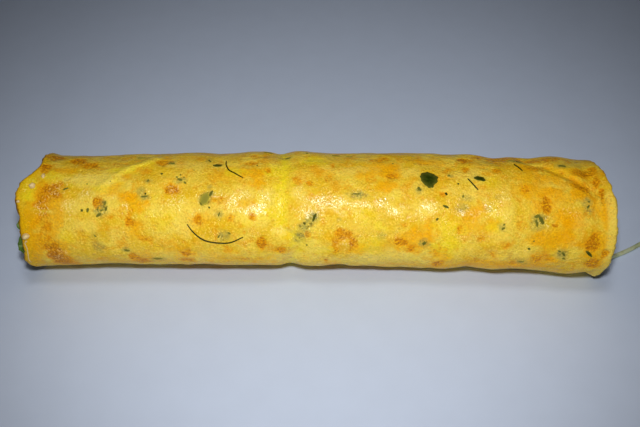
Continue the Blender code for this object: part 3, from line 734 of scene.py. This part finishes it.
def paint_edges(piece, x, turns, share):
    """Where the sheet is inside the roll, glossy, or dark along its cut rims."""
    left, right = sheet_ends(turns)
    inside = in_roll(turns, share)
    dull_left = smooth((DULL_LEFT + 2.0 - (x - left)) / 4.0)
    dull_right = smooth((DULL_RIGHT + 2.0 - (right - x)) / 4.0)
    gloss = (1.0 - 0.9 * np.maximum(dull_left, dull_right)) * (1.0 - inside)
    right_half = right - x < x - left
    rim = np.where(right_half, 0.35, 1.0) * (1.0 - 0.75 * smooth(share * 2.0))
    rim = rim * smooth(1.2 - np.minimum(x - left, right - x)) * (turns < 1.05)
    set_attribute(piece, "cut", inside)
    set_attribute(piece, "gloss", gloss)
    set_attribute(piece, "rim", rim)


def make_egg_roll(material):
    """The whole sheet: fine on the outer turn and its rims, plain where it is hidden."""
    blocks = sheet_points()
    x, turns, share = (np.concatenate([block[i].ravel() for block in blocks]) for i in range(3))
    tail = 1.0 - smooth(turns / 0.06)
    turns = turns + tail * (0.011 * noise(x / 17.0, 0.0, 31) + 0.003 * noise(x / 3.0, 0.0, 32))
    outside = (1.0 - share) * looseness(turns)
    # Browned lace together with painted shadow along the underside.
    brown_and_painted_shade = patches(x, angle_at(turns), BROWNED_AND_PAINTED_SHADE, BROWN_RAGGEDNESS, 41) * outside
    depth = turn_depth(turns) + thickness(np.clip(turns, 0.0, None)) * share
    points = place(x, turns, depth, sheet_lift(x, turns, share, brown_and_painted_shade))
    piece = new_object("egg_roll", points, sheet_faces(blocks), material)
    paint_patches(piece, x, turns, outside, brown_and_painted_shade)
    paint_edges(piece, x, turns, share)
    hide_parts("egg_sheet")
    return piece


class Material:
    """A Principled material, with short ways to add the nodes that drive it."""

    def __init__(self, name, roughness):
        self.material = bpy.data.materials.new(name)
        self.material.use_nodes = True
        self.nodes = self.material.node_tree.nodes
        self.links = self.material.node_tree.links
        self.shader = self.nodes["Principled BSDF"]
        self.shader.inputs["Roughness"].default_value = roughness
        self.places = self.nodes.new("ShaderNodeTexCoord").outputs["Object"]

    def connect(self, value, socket):
        """Links an output to a socket, or sets a plain number or colour."""
        if isinstance(value, bpy.types.NodeSocket):
            self.links.new(value, socket)
        elif isinstance(value, tuple):
            socket.default_value = (*value, 1.0)
        else:
            socket.default_value = value

    def set(self, name, value):
        self.connect(value, self.shader.inputs[name])

    def attribute(self, name):
        node = self.nodes.new("ShaderNodeAttribute")
        node.attribute_name = name
        return node.outputs["Fac"]

    def noise(self, size, detail=3.0, distortion=0.0):
        """Noise from 0 to 1 whose blobs are about size millimetres across."""
        node = self.nodes.new("ShaderNodeTexNoise")
        node.inputs["Scale"].default_value = 1.0 / (size * MM)
        node.inputs["Detail"].default_value = detail
        node.inputs["Distortion"].default_value = distortion
        self.links.new(self.places, node.inputs["Vector"])
        return node.outputs["Fac"]

    def cells(self, size):
        """Distance to the middle of cells about size millimetres across."""
        node = self.nodes.new("ShaderNodeTexVoronoi")
        node.inputs["Scale"].default_value = 1.0 / (size * MM)
        self.links.new(self.places, node.inputs["Vector"])
        return node.outputs["Distance"]

    def math(self, operation, first, second):
        node = self.nodes.new("ShaderNodeMath")
        node.operation = operation
        self.connect(first, node.inputs[0])
        self.connect(second, node.inputs[1])
        return node.outputs[0]

    def times(self, first, second):
        return self.math("MULTIPLY", first, second)

    def ramp(self, value, low, high, start=0.0, end=1.0):
        """Maps low..high to start..end, level outside."""
        node = self.nodes.new("ShaderNodeMapRange")
        self.connect(value, node.inputs["Value"])
        node.inputs["From Min"].default_value = low
        node.inputs["From Max"].default_value = high
        node.inputs["To Min"].default_value = start
        node.inputs["To Max"].default_value = end
        return node.outputs["Result"]

    def mottle(self, size, low, high, start=0.0, end=1.0, detail=3.0):
        """Noise of a size, with low..high of it mapped to start..end."""
        return self.ramp(self.noise(size, detail), low, high, start, end)

    def mix(self, factor, first, second):
        """Blends two colours."""
        node = self.nodes.new("ShaderNodeMix")
        node.data_type = "RGBA"
        self.connect(factor, node.inputs[0])
        self.connect(first, node.inputs[6])
        self.connect(second, node.inputs[7])
        return node.outputs[2]

    def relief(self, height, distance, socket="Normal"):
        """Bump: height from 0 to 1 stands for distance in millimetres."""
        node = self.nodes.new("ShaderNodeBump")
        node.inputs["Distance"].default_value = distance * MM
        self.connect(height, node.inputs["Height"])
        self.links.new(node.outputs["Normal"], self.shader.inputs[socket])


def egg_ground(egg):
    """The egg's ground colour: mottled gold with golden, lemon and pale places, painted light and
    shade among them, and painted shade towards the left rim.
    """
    colour = egg.mix(egg.mottle(11.0, 0.38, 0.64), EGG_GOLD, EGG_LIGHT)
    orange = egg.ramp(egg.noise(5.5, 3.0, 0.6), 0.48, 0.68, 0.0, 0.75)
    colour = egg.mix(orange, colour, EGG_ORANGE)
    uneven = egg.mottle(3.0, 0.30, 0.60, 0.72, 1.0)
    for name, spot in (("golden_and_painted_shade", GOLDEN_AND_SHADE_SPOT), ("lemon_and_painted_highlight", LEMON_AND_HIGHLIGHT_SPOT), ("pale_and_painted_highlight", PALE_AND_HIGHLIGHT_SPOT)):
        colour = egg.mix(egg.times(egg.attribute(name), uneven), colour, spot)
    # Painted shade towards the left rim.
    colour = egg.mix(egg.attribute("left_rim_painted_shade"), colour, RIM_PAINTED_SHADE_GOLD)
    return egg.mix(egg.mottle(2.4, 0.54, 0.70, 0.0, 0.15, detail=2.0), colour, EGG_ORANGE)


def egg_browned(egg, colour, brown_and_painted_shade, dots):
    """Adds the browned lace and, in the same colours, the painted shade along the creases and under
    the roll: a soft light halo, and dark dots towards its middle.
    """
    halo = egg.math("ADD", brown_and_painted_shade, egg.mottle(2.4, 0.30, 0.70, -0.35, 0.35))
    colour = egg.mix(egg.ramp(halo, 0.20, 0.80, 0.0, 0.95), colour, BROWN_LIGHT)
    grain = egg.math("ADD", brown_and_painted_shade, egg.mottle(1.1, 0.30, 0.70, -0.45, 0.45))
    dark = egg.times(egg.ramp(grain, 0.55, 1.10, 0.0, 0.9), egg.ramp(dots, 0.0, 1.0, 0.25, 1.0))
    return egg.mix(dark, colour, BROWN_DARK)


def egg_stained(egg, colour):
    """Adds the green stains round the herbs."""
    stain = egg.attribute("stain")
    colour = egg.mix(egg.times(stain, egg.mottle(2.2, 0.28, 0.62, 0.35, 1.0)), colour, STAIN_GREEN)
    dark = egg.math("ADD", stain, egg.mottle(1.4, 0.30, 0.70, -0.6, 0.6, detail=4.0))
    return egg.mix(egg.ramp(dark, 0.90, 1.25, 0.0, 0.75), colour, STAIN_DARK)


def egg_grain_and_painted_light(egg, colour, fine, vivid):
    """Adds the fine grain of the baked surface as painted light and shade: small darker and lighter
    dots that stand in for the shading and glints of tiny blisters, golden where the egg is golden
    or browned.
    """
    patchy = egg.mottle(7.0, 0.35, 0.65, 0.45, 1.0, detail=2.0)
    shade = egg.times(egg.ramp(fine, 0.33, 0.50, 0.42, 0.0), patchy)
    colour = egg.mix(shade, colour, GRAIN_PAINTED_SHADE)
    light = egg.times(egg.ramp(fine, 0.53, 0.67, 0.0, 0.8), patchy)
    return egg.mix(light, colour, egg.mix(vivid, GRAIN_PAINTED_LIGHT, GRAIN_PAINTED_GOLD_LIGHT))


def egg_edged(egg, colour):
    """Adds the paler egg inside the roll and the dark cut rims."""
    colour = egg.mix(egg.attribute("cut"), colour, CUT_EGG)
    rim = egg.times(egg.attribute("rim"), egg.mottle(1.5, 0.35, 0.60, 0.55, 1.0))
    return egg.mix(rim, colour, RIM_BROWN)


def egg_material():
    """Baked egg: mottled gold, with brown lace, herb stains, creamy and lemon places, and painted
    light and shade: cream glints, grain dots, highlights on the ridges and shade in the creases and
    under the roll.
    """
    egg = Material("baked_egg_surface", 0.4)
    # Browned lace together with painted shade in the creases and under the roll.
    brown_and_painted_shade = egg.attribute("brown_and_painted_shade")
    dots = egg.ramp(egg.cells(1.15), 0.10, 0.60)
    fine = egg.noise(0.9)
    vivid = egg.ramp(egg.math("MAXIMUM", brown_and_painted_shade, egg.attribute("golden_and_painted_shade")), 0.1, 0.6)
    wet_and_painted_glint = egg.times(egg.attribute("wet_and_painted_glint"), egg.mottle(2.2, 0.30, 0.62, 0.3, 1.0))
    colour = egg_browned(egg, egg_ground(egg), brown_and_painted_shade, dots)
    colour = egg_grain_and_painted_light(egg, egg_stained(egg, colour), fine, vivid)
    # Painted highlights: cream glints in the colour where the surface is wet.
    colour = egg.mix(egg.times(egg.ramp(fine, 0.52, 0.66, 0.0, 0.75), wet_and_painted_glint), colour, PAINTED_GLINT)
    egg.set("Base Color", egg_edged(egg, colour))
    egg.set("Roughness", egg.mottle(1.8, 0.35, 0.65, 0.32, 0.50, detail=2.0))
    egg.set("Specular IOR Level", 0.12)
    egg.set("Specular Tint", (1.0, 0.80, 0.12))
    egg.set("Subsurface Weight", 0.12)
    egg.set("Subsurface Radius", Vector((0.9, 0.5, 0.15)))
    egg.set("Subsurface Scale", 2.0 * MM)
    wet_and_painted_glint = egg.math("MAXIMUM", wet_and_painted_glint, egg.mottle(6.0, 0.42, 0.60, 0.0, 0.30, detail=4.0))
    wet_and_painted_glint = egg.times(wet_and_painted_glint, egg.attribute("gloss"))
    egg.set("Coat Weight", egg.times(wet_and_painted_glint, egg.ramp(vivid, 0.0, 1.0, 1.0, 0.2)))
    egg.set("Coat Roughness", 0.14)
    height = egg.math("ADD", egg.noise(0.9, 2.0), egg.times(egg.noise(2.8, 1.0), 1.3))
    pits = egg.times(brown_and_painted_shade, egg.times(dots, 0.8))
    egg.relief(egg.math("SUBTRACT", height, pits), 0.42)
    egg.relief(egg.noise(0.9, 1.0), 0.27, "Coat Normal")
    return egg.material


def plain_food(name, colours, size, roughness, bump_height, gloss=0.3):
    """A material mottled between two colours, for small pieces."""
    food = Material(name, roughness)
    food.set("Base Color", food.mix(food.mottle(size, 0.35, 0.65), *colours))
    rough = food.mottle(size * 0.8, 0.3, 0.7, roughness - 0.08, roughness + 0.1, detail=2.0)
    food.set("Roughness", rough)
    food.relief(food.noise(size * 0.6), bump_height)
    food.set("Specular IOR Level", gloss)
    return food.material


def filling_bounds(turns):
    """The depths between which the filling lies."""
    outside = turn_depth(turns) + thickness(turns) + 0.15
    inside = turn_depth(turns + 1.0) - 0.15
    taper = (turns + 1.0 - CORE_TURNS) / (FILLING_END + 1.0 - CORE_TURNS)
    in_core = outside + CORE_FILLING + (CORE_FILLING_TIP - CORE_FILLING) * taper
    return outside, np.where(turns + 1.0 > CORE_TURNS, in_core, inside)


def filling_ends(turns):
    """The filling's ends, with room for the leaf on the left and the stem on the right."""
    left = -131.6 + 1.0 * np.sin(9.0 * turns) + 0.8 * np.sin(23.0 * turns + 1.0)
    right = 130.2 + 1.0 * np.sin(8.0 * turns + 2.0) + 0.8 * np.sin(21.0 * turns)
    left = left + 10.0 * smooth((0.13 - np.abs(turns - turns_at(9.0))) / 0.04)
    right = right - 20.0 * smooth((0.06 - np.abs(turns - turns_at(STEM_ANGLE))) / 0.02)
    return left + 0.7 * noise(turns * 70.0, 0.0, 51), right + 0.7 * noise(turns * 70.0, 0.0, 52)


def slab(tops, bottoms):
    """A closed slab between two grids of points: its points and its faces."""
    rows, columns = tops.shape[:2]
    points = np.concatenate((tops.reshape(-1, 3), bottoms.reshape(-1, 3)))
    top = np.arange(rows * columns).reshape(rows, columns)
    bottom = top + rows * columns
    faces = quads(top) + quads(bottom)
    for side in (np.s_[0], np.s_[-1], np.s_[:, 0], np.s_[:, -1]):
        faces += quads(np.stack((top[side], bottom[side])))
    return points, faces


def make_filling_core(material):
    """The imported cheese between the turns, as far as the loose shreds at the ends."""
    turns = np.linspace(FILLING_START, FILLING_END, FILLING_ROWS)[:, None]
    left, right = filling_ends(turns)
    part = np.linspace(0.0, 1.0, 7)[None, :]
    start = left + (FILLING_FINE_LEFT - left) * part
    stop = FILLING_FINE_RIGHT + (right - FILLING_FINE_RIGHT) * part
    middle = np.broadcast_to(np.array(FILLING_MIDDLE), (FILLING_ROWS, len(FILLING_MIDDLE)))
    x = np.concatenate((start, middle, stop), axis=1)
    turns = np.broadcast_to(turns, x.shape)
    outside, inside = filling_bounds(turns)
    tops = place(x, turns, outside, -0.1 + 0.15 * noise(x / 2.0, turns * 60.0, 53))
    bottoms = place(x, turns, inside, 0.1 + 0.15 * noise(x / 2.0, turns * 60.0, 54))
    piece = new_object("filling_core", *slab(tops, bottoms), material)
    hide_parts("cheese_filling")
    return piece


def tube(points, radii, sides, phase=0.0):
    """A closed tube along points (in metres): its vertices and its faces."""
    points = np.asarray(points, float)
    along = np.gradient(points, axis=0)
    along /= np.linalg.norm(along, axis=1)[:, None] + 1e-12
    upright = abs(along[:, 2]).mean() >= 0.8
    reference = np.array((1.0, 0.0, 0.0) if upright else (0.0, 0.0, 1.0))
    across = np.cross(along, reference)
    across /= np.linalg.norm(across, axis=1)[:, None] + 1e-12
    upwards = np.cross(across, along)
    turn = (phase + 2.0 * np.pi * np.arange(sides) / sides)[None, :, None]
    ring = across[:, None, :] * np.cos(turn) + upwards[:, None, :] * np.sin(turn)
    vertices = points[:, None, :] + ring * np.asarray(radii, float)[:, None, None]
    grid = np.arange(len(points) * sides).reshape(len(points), sides)
    faces = quads(np.column_stack((grid, grid[:, 0])))
    faces += [grid[0].tolist(), grid[-1].tolist()]
    return vertices.reshape(-1, 3), faces


class Heap:
    """Many small closed shapes gathered into one mesh."""

    def __init__(self):
        self.points = []
        self.faces = []
        self.count = 0

    def add(self, vertices, faces):
        self.points.append(vertices)
        self.faces += [[corner + self.count for corner in face] for face in faces]
        self.count += len(vertices)

    def object(self, name, material):
        return new_object(name, np.concatenate(self.points), self.faces, material)


def cheese_shred(rng, side):
    """One grated shred between the turns, by the roll's left (-1) or right (1) end."""
    end = 0 if side < 0 else 1
    turns = rng.uniform(FILLING_START + 0.02, FILLING_END - 0.02)
    here = np.array(turns)
    x = float(filling_ends(here)[end]) - side * rng.uniform(-2.4, 3.0)
    heading = rng.uniform(-1.3, 1.3)
    length = rng.uniform(5.0, 12.0)
    curl = rng.uniform(-0.8, 0.8)
    share = rng.uniform(0.3, 0.7)
    radius = rng.uniform(0.5, 0.75)
    steps = np.linspace(-0.5, 0.5, 8)
    lean = heading + curl * steps
    run_x = x + length * steps * np.sin(lean)
    rim = float(sheet_ends(here)[end])
    run_x = np.clip(run_x, rim + 0.8, None) if side < 0 else np.clip(run_x, None, rim - 0.8)
    loop = 2.0 * np.pi * max(MEAN_RADIUS - float(filling_bounds(here)[0]), 4.0)
    run_turns = np.clip(turns + length * steps * np.cos(lean) / loop, FILLING_START, FILLING_END)
    low, high = filling_bounds(run_turns)
    route = place(run_x, run_turns, low + (high - low) * share)
    radii = radius * MM * (1.0 - 0.35 * np.abs(2.0 * steps) ** 3)
    return tube(route, radii, 5, rng.uniform(0.0, 6.0))


def make_cheese_shreds(material):
    """Grated cheese that shows between the turns at both ends."""
    rng = np.random.default_rng(61)
    heap = Heap()
    for side in (-1.0, 1.0):
        for _ in range(SHREDS_PER_END):
            heap.add(*cheese_shred(rng, side))
    piece = heap.object("cheese_shreds", material)
    return piece


def leaf_scrap(x, turns, depth, reach_x, reach_arc, seed):
    """A small crumpled piece of leaf that follows the room between two turns."""
    u, v = np.meshgrid(np.linspace(-1.0, 1.0, 11), np.linspace(-1.0, 1.0, 15), indexing="ij")
    pull = 1.0 - 0.12 * u ** 2 * v ** 2
    wobble_u = 0.16 * noise(v * 2.5, u, seed)
    wobble_v = 0.16 * noise(u * 2.5, v, seed + 1)
    radius_here = max(MEAN_RADIUS - depth, 4.0)
    run_x = x + reach_x * (u * pull + wobble_u)
    run_turns = turns + reach_arc * (v * pull + wobble_v) / (2.0 * np.pi * radius_here)
    ruffle = 0.35 * noise(u * 1.8, v * 2.2, seed + 2)
    tops = place(run_x, run_turns, depth - SCRAP_THICKNESS / 2.0 + ruffle)
    bottoms = place(run_x, run_turns, depth + SCRAP_THICKNESS / 2.0 + ruffle)
    return slab(tops, bottoms)


def make_leaf_scraps(material):
    """Salad leaf rolled in with the cheese, in sight at both ends."""
    rng = np.random.default_rng(71)
    heap = Heap()
    for side in (-1.0, 1.0):
        for number in range(SCRAPS_PER_END):
            turns = rng.uniform(FILLING_START + 0.05, FILLING_END - 0.1)
            low, high = (float(value) for value in filling_bounds(np.array(turns)))
            rim = float(sheet_ends(np.array(turns))[0 if side < 0 else 1])
            reach = rng.uniform(2.5, 4.0)
            x = rim - side * (reach + rng.uniform(0.6, 2.2))
            depth = low + (high - low) * rng.uniform(0.3, 0.7)
            heap.add(*leaf_scrap(x, turns, depth, reach, rng.uniform(2.0, 5.0), 700 + 3 * number))
    piece = heap.object("leaf_scraps", material)
    return piece


def flake_plan(rng, x, angle, length, width, turn):
    """A ragged flake's rings of points on the surface: x, angle, and each ring's share."""
    ragged = 0.10 + 0.16 / max(length, width)
    number = np.arange(FLAKE_SPOKES)
    rim_noise = 1.0 + 1.4 * ragged * noise(number / 4.0, rng.uniform(0, 99), 82)
    rim_noise = rim_noise + ragged * noise(number / 1.6, rng.uniform(0, 99), 83)
    spoke = 2.0 * np.pi * number / FLAKE_SPOKES
    ring = (np.arange(1, FLAKE_RINGS + 1) / FLAKE_RINGS)[:, None]
    along = ring * np.cos(spoke) * rim_noise * length / 2.0
    across = ring * np.sin(spoke) * rim_noise * width / 2.0
    lean = radians(turn)
    run_x = x + along * np.cos(lean) - across * np.sin(lean)
    round_it = along * np.sin(lean) + across * np.cos(lean)
    return run_x, angle + np.degrees(round_it / MEAN_RADIUS), ring


def flake_faces():
    """Faces of one flake: its top rings, its under rings, its edge and its two middles."""
    count = FLAKE_RINGS * FLAKE_SPOKES
    grid = np.arange(count).reshape(FLAKE_RINGS, FLAKE_SPOKES)
    closed = np.column_stack((grid, grid[:, 0]))
    faces = quads(closed) + quads(closed + count)
    faces += quads(np.stack((closed[-1], closed[-1] + count)))
    for offset, centre in ((0, 2 * count), (count, 2 * count + 1)):
        loop = (closed[0] + offset).tolist()
        faces += [[first, second, centre] for first, second in zip(loop, loop[1:])]
    return faces


def make_herb_flakes(material):
    """Dark chopped leaf and specks, baked into the surface."""
    rng = np.random.default_rng(81)
    heap = Heap()
    veils = []
    specks = tuple((x, angle, size, size, 0.0, veil) for x, angle, size, veil in SPECKS)
    for x, angle, length, width, turn, veil in FLAKES + specks:
        run_x, run_angle, ring = flake_plan(rng, x, angle, length, width, turn)
        height = 0.10 + 0.10 * (1.0 - ring ** 4) + 0.04 * noise(run_x * 1.2, run_angle, 84)
        top = surface(run_x, run_angle, height).reshape(-1, 3)
        under = surface(run_x, run_angle, -FLAKE_SUNK).reshape(-1, 3)
        middles = surface((x, x), (angle, angle), np.array((0.21, -FLAKE_SUNK)))
        heap.add(np.concatenate((top, under, middles)), flake_faces())
        towards_rim = np.broadcast_to(veil + FLAKE_RIM_VEIL * ring ** 3, run_x.shape).ravel()
        veils.append(np.concatenate((towards_rim, towards_rim, (veil, veil))))
    piece = heap.object("herb_flakes", material)
    set_attribute(piece, "veil", np.concatenate(veils))
    return piece


def spline(points, count):
    """A smooth curve through points (rows of numbers), as count rows."""
    points = np.asarray(points, float)
    first = 2.0 * points[:1] - points[1:2]
    last = 2.0 * points[-1:] - points[-2:-1]
    padded = np.concatenate((first, points, last))
    places = np.linspace(0.0, len(points) - 1.0, count)
    cell = np.minimum(places.astype(int), len(points) - 2)
    part = (places - cell)[:, None]
    before, start, end, after = (padded[cell + offset] for offset in range(4))
    leave, arrive = (end - before) / 2.0, (after - start) / 2.0
    square, cube = part ** 2, part ** 3
    curve = start * (2.0 * cube - 3.0 * square + 1.0) + leave * (cube - 2.0 * square + part)
    return curve + end * (3.0 * square - 2.0 * cube) + arrive * (cube - square)


def make_herb_strands(material):
    """Thin herb stalks that lie on the surface, half sunk in."""
    heap = Heap()
    for points in STRANDS:
        run = spline(points, STRAND_POINTS)
        taper = 1.0 - 0.35 * np.linspace(-1.0, 1.0, STRAND_POINTS) ** 4
        heap.add(*tube(surface(run[:, 0], run[:, 1], 0.12), STRAND_RADIUS * MM * taper, 8))
    piece = heap.object("herb_strands", material)
    return piece


def between_turns(turns):
    """The depth midway between a turn and the next one inside it."""
    return (turn_depth(turns) + thickness(turns) + turn_depth(turns + 1.0)) / 2.0


def leaf_reach(angle):
    """How far the leaf's lobes stand out past its base at an angle."""
    reach = np.zeros_like(angle)
    for centre, half_angle, length in LEAF_LOBES:
        inside = np.clip(1.0 - np.abs((angle - centre) / half_angle) ** 1.7, 0.0, None)
        reach = np.maximum(reach, length * inside ** 0.62)
    return reach + 0.35 * noise(angle / 2.6, 0.0, 91)


def make_salad_leaf(material):
    """The lobed leaf at the left end: thin, veined and ruffled."""
    angle = np.linspace(-17.0, 36.5, 70)[:, None]
    part = np.linspace(0.0, 1.0, 34)[None, :]
    x = LEAF_ROOT + (LEAF_BASE - leaf_reach(angle) - LEAF_ROOT) * part
    turns = np.broadcast_to(turns_at(angle), x.shape)
    ruffle = 0.5 * smooth((-x - 133.0) / 9.0) * np.sin(np.radians(angle) * 14.0 + x * 0.5)
    vein = sum(bump(angle, centre, 1.2) for centre, _, _ in LEAF_LOBES)
    curl = 1.2 * smooth((-x - 137.0) / 8.0) + ruffle
    middle = between_turns(turns)
    tops = place(x, turns, middle - LEAF_HALF_THICKNESS, curl - 0.25 * vein)
    bottoms = place(x, turns, middle + LEAF_HALF_THICKNESS, curl)
    piece = new_object("leaf_left", *slab(tops, bottoms), material)
    veins = np.broadcast_to(np.clip(vein, 0.0, 1.0), x.shape).ravel()
    set_attribute(piece, "vein", np.concatenate((veins, veins)))
    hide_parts("salad_leaf")
    return piece


def make_salad_stem(material):
    """The pale stem: ribbed, thickest outside the roll and a little thinner at its cut end."""
    turns = turns_at(np.array(STEM_ANGLE))
    hidden = (STEM_ROOT, STEM_ROOT + 9.0, STEM_ROOT + 18.0, STEM_RIM)
    inside = [place(x, turns, between_turns(turns)) for x in hidden]
    outside = [np.array((x + PLACE_X, y + PLACE_Y, z)) * MM for x, y, z in STEM_OUTSIDE]
    route = spline(np.array(inside + outside), STEM_POINTS)
    share = np.linspace(0.0, 1.0, STEM_POINTS)
    thicker = 1.0 + 0.34 * smooth(share / 0.6) - 0.12 * share + 0.03 * np.sin(share * 37.0)
    vertices, faces = tube(route, STEM_RADIUS * thicker * MM, STEM_SIDES)
    rib = 1.0 + 0.05 * np.cos(np.arange(STEM_SIDES) * 2.0 * np.pi * STEM_RIBS / STEM_SIDES)
    middle = route[:, None, :]
    ribbed = middle + (vertices.reshape(STEM_POINTS, STEM_SIDES, 3) - middle) * rib[None, :, None]
    piece = new_object("stem_right", ribbed.reshape(-1, 3), faces, material)
    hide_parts("salad_stem")
    return piece


def make_crumbs(material):
    """White cheese crumbs and a thin hanging shred by the left rim."""
    rng = np.random.default_rng(95)
    heap = Heap()
    for x, angle, radius in CRUMBS:
        sphere = bmesh.new()
        bmesh.ops.create_icosphere(sphere, subdivisions=3, radius=1.0)
        ball = np.array([vert.co[:] for vert in sphere.verts])
        faces = [[vert.index for vert in face.verts] for face in sphere.faces]
        sphere.free()
        lumps = 1.0 + 0.25 * noise(ball[:, 0] * 1.6 + x, ball[:, 1] * 1.6 + ball[:, 2], 96)
        stretch = rng.uniform(0.75, 1.1, 3)
        centre = surface((x,), (angle,), 0.1 * radius)
        heap.add(centre + ball * lumps[:, None] * stretch * radius * MM, faces)
    run = spline(HANGING_SHRED, HANGING_SHRED_POINTS)
    lift = 0.15 + 0.2 * np.sin(np.linspace(0.0, 7.0, HANGING_SHRED_POINTS))
    radii = np.full(HANGING_SHRED_POINTS, HANGING_SHRED_RADIUS * MM)
    heap.add(*tube(surface(run[:, 0], run[:, 1], lift), radii, 6))
    piece = heap.object("cheese_crumbs", material)
    return piece


def herb_material():
    """Dark green leaf, paler and browner where a film of egg covers it."""
    herb = Material("chopped_herb_surface", 0.5)
    bare = herb.mix(herb.mottle(1.5, 0.35, 0.65), *HERB)
    veil = herb.attribute("veil")
    colour = herb.mix(herb.ramp(veil, 0.0, 0.9), bare, HERB_VEILED)
    herb.set("Base Color", herb.mix(herb.ramp(veil, 0.9, 1.15), colour, EGG_FILM))
    herb.relief(herb.noise(0.9), 0.12)
    herb.set("Specular IOR Level", 0.08)
    herb.set("Specular Tint", (0.9, 1.0, 0.3))
    return herb.material


def leaf_material():
    """Fresh green leaf with paler veins."""
    leaf = Material("salad_leaf_surface", 0.42)
    colour = leaf.mix(leaf.mottle(2.5, 0.35, 0.65), *LEAF)
    colour = leaf.mix(leaf.times(leaf.attribute("vein"), 0.7), colour, LEAF_VEIN)
    leaf.set("Base Color", colour)
    leaf.relief(leaf.noise(0.8), 0.12)
    leaf.set("Specular IOR Level", 0.2)
    leaf.set("Subsurface Weight", 0.1)
    leaf.set("Subsurface Scale", 0.8 * MM)
    return leaf.material


def stem_material():
    """Pale, slightly translucent green stem."""
    stem = Material("salad_stem_surface", 0.4)
    stem.set("Base Color", stem.mix(stem.mottle(3.0, 0.35, 0.65), *STEM))
    stem.relief(stem.noise(0.7), 0.10)
    stem.set("Subsurface Weight", 0.15)
    stem.set("Subsurface Scale", 1.0 * MM)
    return stem.material


def make_floor():
    """A plain pale floor, not part of the food."""
    half = FLOOR_SIZE / 2.0
    corners = [(-half, -half, 0.0), (half, -half, 0.0), (half, half, 0.0), (-half, half, 0.0)]
    data = bpy.data.meshes.new("floor")
    data.from_pydata(corners, [], [(0, 1, 2, 3)])
    floor = bpy.data.objects.new("floor", data)
    bpy.context.scene.collection.objects.link(floor)
    paper = Material("floor_surface", 0.7)
    darker = tuple(channel * 0.94 for channel in FLOOR_COLOUR)
    paper.set("Base Color", paper.mix(paper.noise(14.0, 4.0), darker, FLOOR_COLOUR))
    data.materials.append(paper.material)


def direction(azimuth, rise):
    """From the roll towards a place at an azimuth (0 is the front) and a rise above level."""
    level = np.cos(radians(rise))
    side, back = np.sin(radians(azimuth)), -np.cos(radians(azimuth))
    return np.array((side * level, back * level, np.sin(radians(rise))))


def look_at(thing, target):
    thing.rotation_euler = (target - thing.location).to_track_quat("-Z", "Y").to_euler()


def make_camera():
    data = bpy.data.cameras.new("camera")
    data.lens = CAMERA_LENS
    data.sensor_width = 36.0
    data.clip_start = 0.01
    camera = bpy.data.objects.new("camera", data)
    bpy.context.scene.collection.objects.link(camera)
    camera.location = Vector((np.array(AIM) + direction(0.0, CAMERA_RISE) * CAMERA_DISTANCE) * MM)
    look_at(camera, Vector(AIM) * MM)
    bpy.context.scene.camera = camera


def add_light(name, kind, azimuth, rise, distance, power, colour):
    """A lamp that points at the middle of the roll."""
    data = bpy.data.lights.new(name, kind)
    data.energy = power
    data.color = colour
    light = bpy.data.objects.new(name, data)
    bpy.context.scene.collection.objects.link(light)
    light.location = Vector((np.array(AIM) + direction(azimuth, rise) * distance) * MM)
    look_at(light, Vector(AIM) * MM)
    return data


def make_lights():
    flash = add_light("flash", "SPOT", 0.0, FLASH_RISE, FLASH_DISTANCE, FLASH_POWER, FLASH_COLOUR)
    flash.shadow_soft_size = FLASH_RADIUS * MM
    flash.spot_size = radians(FLASH_CONE)
    flash.spot_blend = 1.0
    for name, azimuth, rise, size, power in FILLS:
        lamp = add_light(name, "AREA", azimuth, rise, FILL_DISTANCE, power, FILL_COLOUR)
        lamp.shape = "DISK"
        lamp.size = size * MM
    world = bpy.data.worlds.new("studio")
    world.use_nodes = True
    background = world.node_tree.nodes["Background"]
    background.inputs["Color"].default_value = (*WORLD_COLOUR, 1.0)
    background.inputs["Strength"].default_value = WORLD_STRENGTH
    bpy.context.scene.world = world
    bpy.context.scene.view_settings.view_transform = "Standard"


def main():
    make_camera()
    make_lights()
    make_floor()
    cheese = plain_food("grated_cheese_surface", CHEESE, 2.0, 0.42, 0.15)
    crumb_cheese = plain_food("white_cheese_surface", CRUMB_CHEESE, 1.2, 0.5, 0.12)
    stalk = plain_food("herb_stalk_surface", STALK, 1.2, 0.5, 0.05, 0.1)
    leaf = leaf_material()
    make_egg_roll(egg_material())
    make_filling_core(cheese)
    make_cheese_shreds(cheese)
    make_leaf_scraps(leaf)
    make_herb_flakes(herb_material())
    make_herb_strands(stalk)
    make_salad_leaf(leaf)
    make_salad_stem(stem_material())
    make_crumbs(crumb_cheese)


main()
